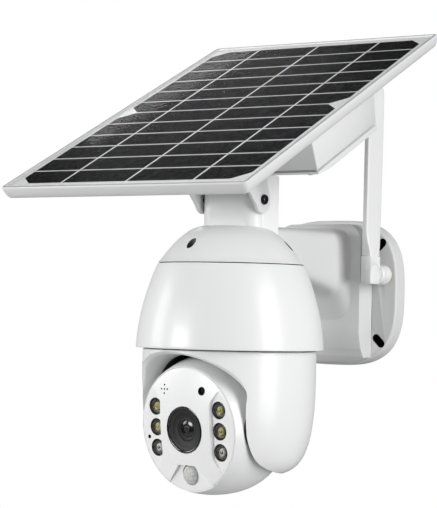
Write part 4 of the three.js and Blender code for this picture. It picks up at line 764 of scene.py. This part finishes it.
ribs = []
for k in range(5):
    x = -72 + 36 * k
    ribs.append(block(x - 0.8, x + 0.8, MIDDLE - 134, MIDDLE + 134, 51.9, 53.9))
for k in range(7):
    y = MIDDLE - 126 + 42 * k
    ribs.append(block(-84.5, 84.5, y - 0.8, y + 0.8, 52.1, 53.9))
new_piece("panel_ribs", joined(*ribs), PANEL, "panel", FRAME_SHADED_WHITE, ["panel_frame"])
backing = new_piece("panel_backing", block(-75, 75, -14.5, 93.4, 51.3, 54.0), PANEL, "panel", FRAME_SHADED_WHITE,
                    ["panel_frame"])
bevelled(backing, 0.4, 2)

GLASS_X, GLASS_Y = 92.0, 142.0
pane = rounded_rect(-GLASS_X, GLASS_X, MIDDLE - GLASS_Y, MIDDLE + GLASS_Y, 1.5, 4)
new_piece("panel_back_sheet", prism(pane, 57.8, 58.95), PANEL, "panel", BACK_SHEET, ["cell_laminate"])

LINE = 1.5  # white line between strips
EDGE_X, PITCH_X = 87.8, 51.0
AREA_Y, ROWS = 271.6, 12
CHAMFER = 10.0
columns = [-EDGE_X - LINE / 2, -PITCH_X, 0, PITCH_X, EDGE_X + LINE / 2]
pitch_y = AREA_Y / ROWS
strips = bmesh.new()
for column, (left_line, right_line) in enumerate(zip(columns, columns[1:])):
    for row in range(ROWS):
        x0, x1 = left_line + LINE / 2, right_line - LINE / 2
        y0 = MIDDLE - AREA_Y / 2 + row * pitch_y + LINE / 2
        y1 = y0 + pitch_y - LINE
        corners = []
        for x, y, sx, sy in ((x0, y0, 1, 1), (x1, y0, -1, 1), (x1, y1, -1, -1), (x0, y1, 1, -1)):
            outer = (column == 0 and x == x0) or (column == 3 and x == x1)
            wafer_end = (y == y0 and row % 6 == 0) or (y == y1 and row % 6 == 5)
            if outer and wafer_end:
                pair = [(x, y + sy * CHAMFER), (x + sx * CHAMFER, y)]
                if sx * sy < 0:
                    pair.reverse()
                corners += pair
            else:
                corners.append((x, y))
        low = [strips.verts.new((x, y, 58.9)) for x, y in corners]
        high = [strips.verts.new((x, y, 58.99)) for x, y in corners]
        strips.faces.new(high)
        strips.faces.new(list(reversed(low)))
        for i in range(len(corners)):
            j = (i + 1) % len(corners)
            strips.faces.new((low[i], low[j], high[j], high[i]))
new_piece("solar_wafers", strips, PANEL, "panel", WAFER, ["cell_laminate"])
new_piece("panel_cover_glass", prism(pane, 59.2, 59.7), PANEL, "panel", PANEL_GLASS, ["panel_glass"])

# ---------------------------------------------------------------- battery box

BOX_FRONT, BOX_BACK, BOX_RAKE, BOX_HALF = -4.6, 93.4, 7.6, 75.0
BOX_TOP, BOX_SEAM = 51.0, 22.0
box_side = [(BOX_FRONT, BOX_SEAM), (BOX_BACK - BOX_RAKE, BOX_SEAM), (BOX_BACK, BOX_TOP),
            (BOX_FRONT, BOX_TOP)]
box = new_piece("battery_case", prism_x(box_side, -BOX_HALF, BOX_HALF), PANEL, "panel", FRAME_SHADED_WHITE,
                ["battery_box"])
bevelled(box, 0.8, 3, 35)

LID_TOP, LID_DEEP = 20.8, 13.1
lid_side = [(BOX_FRONT, LID_TOP), (BOX_FRONT, LID_TOP - 1.6), (BOX_FRONT + 52.6, LID_DEEP),
            (BOX_BACK - BOX_RAKE - 2, LID_DEEP), (BOX_BACK - BOX_RAKE, LID_DEEP + 3),
            (BOX_BACK - BOX_RAKE, LID_TOP)]
lid = new_piece("battery_cover", prism_x(lid_side, -BOX_HALF, BOX_HALF), PANEL, "panel", FRAME_SHADED_WHITE,
                ["battery_lid"])
lid_across = [(-BOX_HALF, LID_TOP), (-BOX_HALF, LID_DEEP + 4), (-BOX_HALF + 6.6, LID_DEEP),
              (BOX_HALF - 6.6, LID_DEEP), (BOX_HALF, LID_DEEP + 4), (BOX_HALF, LID_TOP)]
boolean(lid, tool(prism_y(lid_across, BOX_FRONT - 1, BOX_BACK), PANEL, FRAME_SHADED_WHITE), "INTERSECT")
lid_middle = (BOX_FRONT + BOX_BACK - BOX_RAKE) / 2
lid_reach = (BOX_BACK - BOX_RAKE - BOX_FRONT) / 2 - 7
screws = []
for side_x in (-1, 1):
    for side_y in (-1, 1):
        x, y = side_x * 64, lid_middle + side_y * (lid_reach - 2)
        boolean(lid, tool(moved(rod(3.4, LID_DEEP - 4, LID_DEEP + 4.5, 40), shift(x, y, 0)), PANEL,
                          FRAME_SHADED_WHITE))
        screws.append(moved(lathe([(0, LID_DEEP + 5), (2.8, LID_DEEP + 5), (2.8, LID_DEEP + 3.6),
                                   (2.1, LID_DEEP + 2.9), (0, LID_DEEP + 2.7)], 32), shift(x, y, 0)))
bevelled(lid, 0.6, 3, 35)
new_piece("lid_screws", joined(*screws), PANEL, "panel", STEEL)

# ---------------------------------------------------------------- bell housing


def bell_radius(z, shrink=0.0):
    t = -z / 57.7
    return 50.6 + 25.2 * t - 11.3 * t * t - shrink


bell_profile = [(62.35, -57.45), (62.6, -57.68), (64.0, -57.7), (64.35, -57.55),
                (bell_radius(-57.2), -57.1)]
for k in range(1, 41):
    z = -57.1 + 56.4 * k / 40
    bell_profile.append((bell_radius(z), z))
bell_profile += [(50.75, -0.35), (50.5, -0.08), (50.1, 0), (20, 0), (20, -2.4), (48.5, -2.4)]
for k in range(1, 13):
    z = -2.6 - 54.6 * k / 12
    bell_profile.append((bell_radius(z, 2.25), z))
new_piece("bell_skin", lathe(bell_profile, 192, closed=True), DOME, "bracket", WHITE, ["bell_housing"])

# ---------------------------------------------------------------- pan shell

PAN_RADIUS = 59.7
PAN_FOOT = -143
pan_outer = [(PAN_RADIUS, -78)]


def bezier(a, b, c, d, steps):
    points = []
    for k in range(1, steps + 1):
        t = k / steps
        points.append(tuple((1 - t) ** 3 * p + 3 * t * (1 - t) ** 2 * q + 3 * t * t * (1 - t) * r + t ** 3 * s
                            for p, q, r, s in zip(a, b, c, d)))
    return points


pan_outer += bezier((PAN_RADIUS, -78), (PAN_RADIUS, -104), (57.4, -118), (53.6, -127.4), 16)
pan_outer += bezier((53.6, -127.4), (50, -136.5), (43, PAN_FOOT), (30, PAN_FOOT), 14)
pan_profile = [(0, PAN_FOOT)] + list(reversed(pan_outer))
pan_profile += [(PAN_RADIUS, -64), (PAN_RADIUS, -59.3), (59.5, -58.7), (59.0, -58.4), (58.2, -58.35),
                (58.1, -50.5), (0, -50.5)]
shell = new_piece("pan_skin", lathe(pan_profile, 168), PAN, "pan", WHITE, ["pan_shell"])
# The neck above the shoulder is painted dark: a painted shadow line in the gap under the bell's hem.
paint(shell, PAINTED_SHADE_DARK, lambda spot: spot.z > -58.34)
CHEEK = 46.5  # half the head's room between the two arms
SWEEP = 54.45  # radius of the room the head turns in
# The cuts below leave painted shade: the head's room, the axle pockets and the hollow top are painted dark.
sweep = bmesh.new()
bmesh.ops.create_uvsphere(sweep, u_segments=128, v_segments=64, radius=SWEEP)
bmesh.ops.rotate(sweep, matrix=Matrix.Rotation(math.pi / 2, 3, "Y"), verts=sweep.verts)
ball = tool(moved(sweep, shift(*TILT_AXIS)), PAN, PAINTED_SHADE_DARK)
boolean(ball, tool(block(-CHEEK, CHEEK, -120, 120, -230, 0), PAN, PAINTED_SHADE_DARK), "INTERSECT")
boolean(shell, ball)
for side in (-1, 1):
    pocket = moved(rod(19, CHEEK - 2, 50.8, 64), turn(side * math.pi / 2, "Y"))
    boolean(shell, tool(moved(pocket, shift(*TILT_AXIS)), PAN, PAINTED_SHADE_DARK))
boolean(shell, tool(rod(56.9, -60.5, -49, 128), PAN, PAINTED_SHADE_DARK))
ARCH_CENTRE = -92.2
ARCH_HEIGHT = 31
ARCH_DROP = 68  # the straight sides, down past the foot
OPENING = 47.5


def opening_half(z):
    """Half the opening's width, a little less towards its foot."""
    return OPENING - 1.3 * min(max(ARCH_CENTRE - z, 0) / 30, 1)


def arch_ring(flare, depth, straight=None):
    """The opening's edge: half an oval above, straight sides below, following the skin at a depth."""
    ring = []
    for i in range(97):
        a = math.pi * i / 96
        s = math.sin(a)
        x = (OPENING + 5.4 * flare * min(1, 1.4 * s)) * math.cos(a)
        ring.append((x, ARCH_CENTRE + (ARCH_HEIGHT + 2 * flare) * s))
    for k in range(1, 30):
        z = ARCH_CENTRE - ARCH_DROP * k / 30
        ring.append((-opening_half(z), z))
    for k in range(33):
        half = opening_half(ARCH_CENTRE - ARCH_DROP)
        ring.append((-half + 2 * half * k / 32, ARCH_CENTRE - ARCH_DROP))
    for k in range(1, 30):
        z = ARCH_CENTRE - ARCH_DROP + ARCH_DROP * k / 30
        ring.append((opening_half(z), z))
    made = []
    for x, z in ring:
        on_skin = -math.sqrt(PAN_RADIUS ** 2 - min(abs(x), PAN_RADIUS - 1) ** 2) + depth
        made.append((x, straight if straight else on_skin, z))
    return made


arch = skin([arch_ring(1.3, 0, -70), arch_ring(1.1, -1.5), arch_ring(0.8, 0.5), arch_ring(0.35, 2),
             arch_ring(0.08, 3.4), arch_ring(0, 5), arch_ring(0, 0, -19.4)])
bmesh.ops.triangulate(arch, faces=arch.faces)
boolean(shell, tool(arch, PAN, WHITE))
# The cuts leave loose scraps: only the largest body stays.
parts = bmesh.new()
parts.from_mesh(shell.data)
groups = []
left = set(parts.verts)
while left:
    seed = left.pop()
    island, queue = {seed}, [seed]
    while queue:
        for edge in queue.pop().link_edges:
            for vert in edge.verts:
                if vert not in island:
                    island.add(vert)
                    queue.append(vert)
    left -= island
    groups.append(island)
groups.sort(key=len)
for island in groups[:-1]:
    bmesh.ops.delete(parts, geom=list(island), context="VERTS")
parts.to_mesh(shell.data)
parts.free()
bevelled(shell, 0.45, 3, 38, 34)

# ---------------------------------------------------------------- head shells

HEAD_RADIUS = 48.7
FACE_RADIUS = 42.4
EDGE = 32.9  # the face's rim, out from the axle
NOSE = HEAD_RADIUS / math.sqrt(1 - (FACE_RADIUS / HEAD_RADIUS) ** 2) * (EDGE / HEAD_RADIUS)


def head_radius(f):
    reach = NOSE if f > 0 else HEAD_RADIUS
    return HEAD_RADIUS * math.sqrt(max(0, 1 - (f / reach) ** 2))


def flattened(piece, at=44.6):
    """Planes the piece's two sides and paints the flats dark: painted shade in the gap beside the cheeks."""
    boolean(piece, tool(block(-at, at, -70, 70, -70, 70), FACE, PAINTED_SHADE_DARK), "INTERSECT")
    return bevelled(piece, 0.4, 3, 22, 34)


front_profile = [(0, -11.8), (47.0, -11.8)] + [(head_radius(-12 + 44.6 * k / 30), -12 + 44.6 * k / 30)
                                              for k in range(31)]
front_profile += [(42.35, 32.75), (42.15, 32.9), (41.85, 32.85), (41.75, 32.5), (41.7, 30.5), (0, 30.4)]
flattened(new_piece("head_front_skin", lathe(front_profile, 168), FACE, "head", WHITE,
                    ["head_front_shell"]))
rear_profile = [(48.65 * math.sin(math.radians(a)), -48.65 * math.cos(math.radians(a)))
                for a in (75.3 * k / 28 for k in range(29))]
rear_profile += [(46.8, -12.3), (0, -12.4)]
flattened(new_piece("head_rear_skin", lathe(rear_profile, 168), FACE, "head", WHITE, ["head_rear_shell"]))

hatch_profile = [(49.0 * math.sin(math.radians(a)), -49.0 * math.cos(math.radians(a)))
                 for a in (88 * k / 40 for k in range(41))]
hatch_profile += [(40, -2), (0, -2)]
hatch = new_piece("service_hatch", lathe(hatch_profile, 160), FACE, "head", RUBBER, ["service_cover"])
window = rounded_rect(-12.7, 12.7, -34.7, -17.3, 3, 6)
boolean(hatch, tool(prism_y(window, -60, -25), FACE, RUBBER), "INTERSECT")
bevelled(hatch, 0.35, 3, 35)

# ---------------------------------------------------------------- face

face_profile = [(0, 30.4), (41.3, 30.4), (41.62, 30.6), (41.66, EDGE - 0.3), (41.6, EDGE - 0.05),
                (41.4, EDGE + 0.08)]
for k in range(1, 29):
    r = 41.0 * (1 - k / 28)
    face_profile.append((r, EDGE + 4.6 * (1 - (r / FACE_RADIUS) ** 2)))
face = new_piece("face_skin", lathe(face_profile, 168), FACE, "head", FACE_LIT_WHITE, ["face_plate"])
for side in (-1, 1):
    facet = [(31.5, 29.5), (22.4, 19), (22.4, -18.5), (31, -31), (60, -40), (60, 40)]
    facet = soften([(side * x, y) for x, y in facet], [0, 7, 9, 0, 0, 0], 8)
    boolean(face, tool(prism(facet, EDGE + 0.3, EDGE + 12), FACE, FACE_LIT_WHITE))


def recess_tool():
    """The notch below the lens: a floor that leans back towards the rim, open at the bottom."""
    notch = prism(soften([(-8.2, 0), (8.2, 0), (29.5, -24), (-29.5, -24)], [1.5, 1.5, 0, 0]), 0, 20)
    return tool(moved(notch, shift(0, -24.0, EDGE + 0.3) @ turn(math.radians(4), "X")), FACE, FACE_LIT_WHITE)


boolean(face, recess_tool())
boolean(bpy.data.objects["head_front_skin"], recess_tool())
LIGHT_SENSOR = shift(16.0, 26.6, 0)
MOTION_SENSOR = shift(0, -31, 0)
lamps = [(side * 28.8, row * 14.1) for side in (-1, 1) for row in (1, 0, -1)]
# The hole walls take the dark plastic, which is painted shade where the mic and speaker holes stay open.
for x, y in lamps:
    boolean(face, tool(moved(rod(5.95, 28, 45, 64), shift(x, y, 0)), FACE, DARK))
boolean(face, tool(rod(14.9, 28, 45, 96), FACE, DARK))
boolean(face, tool(moved(rod(7.1, 28, 45, 64), MOTION_SENSOR), FACE, DARK))
boolean(face, tool(moved(rod(2.9, 31, 45, 48), LIGHT_SENSOR), FACE, DARK))
boolean(face, tool(moved(rod(1.35, 31, 45, 32), shift(-36.2, -7.1, 0)), FACE, DARK))
for x, y in ((0, 0), (2.9, 0), (-2.9, 0), (0, 2.9), (0, -2.9)):
    boolean(face, tool(moved(rod(0.68, 31.5, 45, 20), shift(x - 18.2, y + 26.6, 0)), FACE, DARK))

# ---------------------------------------------------------------- lamps, lens and sensors

for i, (x, y) in enumerate(lamps):
    node = "led_%d" % (i + 1)
    infrared = y < 0
    place = FACE @ shift(x, y, 0)
    collar = lathe([(0, 28.6), (5.85, 28.6), (5.85, EDGE + 0.1), (5.7, EDGE + 0.35), (5.4, EDGE + 0.4),
                    (5.1, EDGE + 0.05), (4.9, EDGE - 0.5), (4.4, EDGE - 2.0), (0, EDGE - 2.1)], 64)
    new_piece(node + "_collar", collar, place, "head", GLOSS_BLACK, [node])
    cup = lathe([(4.85, EDGE - 0.7), (4.5, EDGE - 0.9), (4.2, EDGE - 1.3), (3.9, EDGE - 1.35),
                 (3.6, EDGE - 1.8),
                 (3.1, EDGE - 1.9), (0, EDGE - 1.95), (0, EDGE - 2.1), (4.6, EDGE - 2.1)], 64)
    new_piece(node + "_reflector", cup, place, "head", REFLECTOR)
    dome = lathe([(0, EDGE - 1.9), (2.8, EDGE - 1.9), (2.7, EDGE - 1.4), (2.4, EDGE - 0.9),
                  (2.0, EDGE - 0.55),
                  (1.6, EDGE - 0.4), (1.45, EDGE - 0.45), (1.3, EDGE - 0.6), (0, EDGE - 0.65)], 48)
    new_piece(node + "_chip", dome, place, "head", CLEAR_CHIP if infrared else YELLOW_CHIP)
    core = lathe([(0, EDGE - 0.6), (1.25, EDGE - 0.5), (1.1, EDGE - 0.15), (0.6, EDGE + 0.1),
                  (0, EDGE + 0.15)], 32)
    new_piece(node + "_core", core, place, "head", CLEAR_CORE if infrared else YELLOW_CORE)

bezel_profile = [(14.0, 32), (15.3, 35.2), (15.95, 35.6), (16.15, 36.2), (16.1, 36.7), (15.8, 37.05),
                 (15.3, 37.2),
                 (14.7, 37.1), (14.25, 36.8), (14.0, 36.4)]
new_piece("lens_ring", lathe(bezel_profile, 128, closed=True), FACE, "head", GLOSS_BLACK, ["lens_bezel"])
cone_profile = [(14.1, 36.45), (13.9, 36.35), (11.9, 35.75), (11.7, 35.75), (11.4, 35.55), (8.4, 34.6),
                (8.1, 34.6),
                (7.9, 34.4), (7.7, 34.2), (7.7, 32), (14.1, 32)]
new_piece("lens_cone", lathe(cone_profile, 128, closed=True), FACE, "head", CONE_GREY, ["lens_bezel"])
barrel_profile = [(0, 32), (7.8, 32), (7.8, 34.1), (7.5, 34.35), (7.1, 34.4), (6.8, 34.2), (6.4, 33.7),
                  (6.1, 33.6),
                  (5.8, 33.2), (0, 33.1)]
new_piece("lens_barrel_front", lathe(barrel_profile, 96), FACE, "head", DARK, ["lens_barrel"])
new_piece("lens_dome", lathe([(0, 33.0), (5.9, 33.05), (5.85, 33.4), (5.0, 33.75), (3.6, 34.05),
                              (1.9, 34.25),
                              (0, 34.3)], 96), FACE, "head", LENS_GLASS, ["lens_glass"])
new_piece("lens_iris", lathe([(0, 34.1), (2.3, 34.1), (2.35, 34.24), (1.9, 34.36), (1.5, 34.32),
                              (0, 34.34)], 64),
          FACE, "head", LENS_CORE)

pir_profile = [(0, 29.2), (6.9, 29.2), (7.0, EDGE - 2.0), (7.0, EDGE - 1.4)]
for k in range(1, 13):
    a = math.radians(90 * k / 12)
    pir_profile.append((7.0 * math.cos(a), EDGE - 1.4 + 4.2 * math.sin(a)))
new_piece("motion_dome", lathe(pir_profile, 96), FACE @ MOTION_SENSOR, "head", FROST, ["pir_lens"])
new_piece("light_window", lathe([(0, 31.1), (2.75, 31.2), (2.75, 33.6), (2.5, 33.85), (0, 33.95)], 48),
          FACE @ LIGHT_SENSOR, "head", GLOSS_BLACK, ["light_sensor"])

# ---------------------------------------------------------------- antenna

nut_profile = [(3.6, 2.5), (6.5, 2.5), (6.9, 2.65), (7.15, 3.0), (7.3, 3.5), (7.3, 8.3), (7.15, 8.75),
               (6.75, 9.0),
               (6.45, 9.3), (6.45, 9.7), (6.8, 9.95), (7.0, 10.3), (7.05, 14.6), (6.8, 15.3),
               (6.3, 15.7), (3.6, 15.7)]
nut = lathe(nut_profile, 96, closed=True)
new_piece("antenna_collar_nut", moved(nut, turn(math.pi / 2, "X")), ANTENNA, "antenna_swivel", WHITE,
          ["antenna_nut"])
PIN_Y, FOOT, HALF_THICK = -23.2, 7.2, 4.0
foot = soften([(FOOT, 0), (FOOT, -FOOT), (-FOOT, -FOOT), (-FOOT, 0)], [0, 1.6, 1.6, 0], 5, False)
foot += [(-FOOT * math.cos(math.pi * k / 32), FOOT * math.sin(math.pi * k / 32)) for k in range(1, 32)]
knuckle = new_piece("antenna_hinge_foot",
                    prism_x([(PIN_Y + y, z) for y, z in foot], -HALF_THICK, HALF_THICK), ANTENNA,
                    "antenna_swivel", WHITE, ["antenna_knuckle"])
bevelled(knuckle, 0.35, 3, 40)
collar = moved(lathe([(0, -16.3), (5.0, -16.3), (5.2, -16.1), (5.2, -14), (0, -14)], 64),
               turn(-math.pi / 2, "X"))
new_piece("antenna_hinge_collar", collar, ANTENNA, "antenna_swivel", WHITE, ["antenna_knuckle"])
low_angle = math.radians(19)
cup = [((FOOT + 0.15) * math.cos(low_angle + (math.pi - 2 * low_angle) * k / 32),
        (FOOT + 0.15) * math.sin(low_angle + (math.pi - 2 * low_angle) * k / 32)) for k in range(33)]
cup += [(-FOOT, 12.85), (FOOT, 12.85)]
socket = new_piece("antenna_blade_foot",
                   prism_x([(PIN_Y + y, z) for y, z in cup], -HALF_THICK, HALF_THICK), ANTENNA,
                   "antenna_blade", WHITE, ["antenna_blade"])
bevelled(socket, 0.3, 3, 50)
blade_stations = [
    (12.5, 3.6, 6.8, 0), (13.2, 3.6, 6.8, 0), (13.35, 3.95, 7.15, 0), (17, 3.85, 7.6, 0.05),
    (22, 3.2, 9.2, 0.2),
    (27, 2.5, 10.4, 0.4), (32, 2.2, 10.9, 0.6), (60, 2.2, 11.2, 1.3), (90, 2.2, 11.35, 1.9),
    (120, 2.2, 11.5, 2.3),
    (131, 2.2, 11.3, 2.4), (136, 2.1, 10.2, 2.5), (138.8, 1.8, 8.2, 2.5), (140, 1.2, 6.0, 2.5),
]
rings = []
for z, half_x, half_y, lean in blade_stations:
    rings.append([(x, PIN_Y + lean + y, z) for x, y in oval(half_x, half_y, 7, 96)])
new_piece("antenna_paddle", skin(rings), ANTENNA, "antenna_blade", WHITE, ["antenna_blade"], 40)
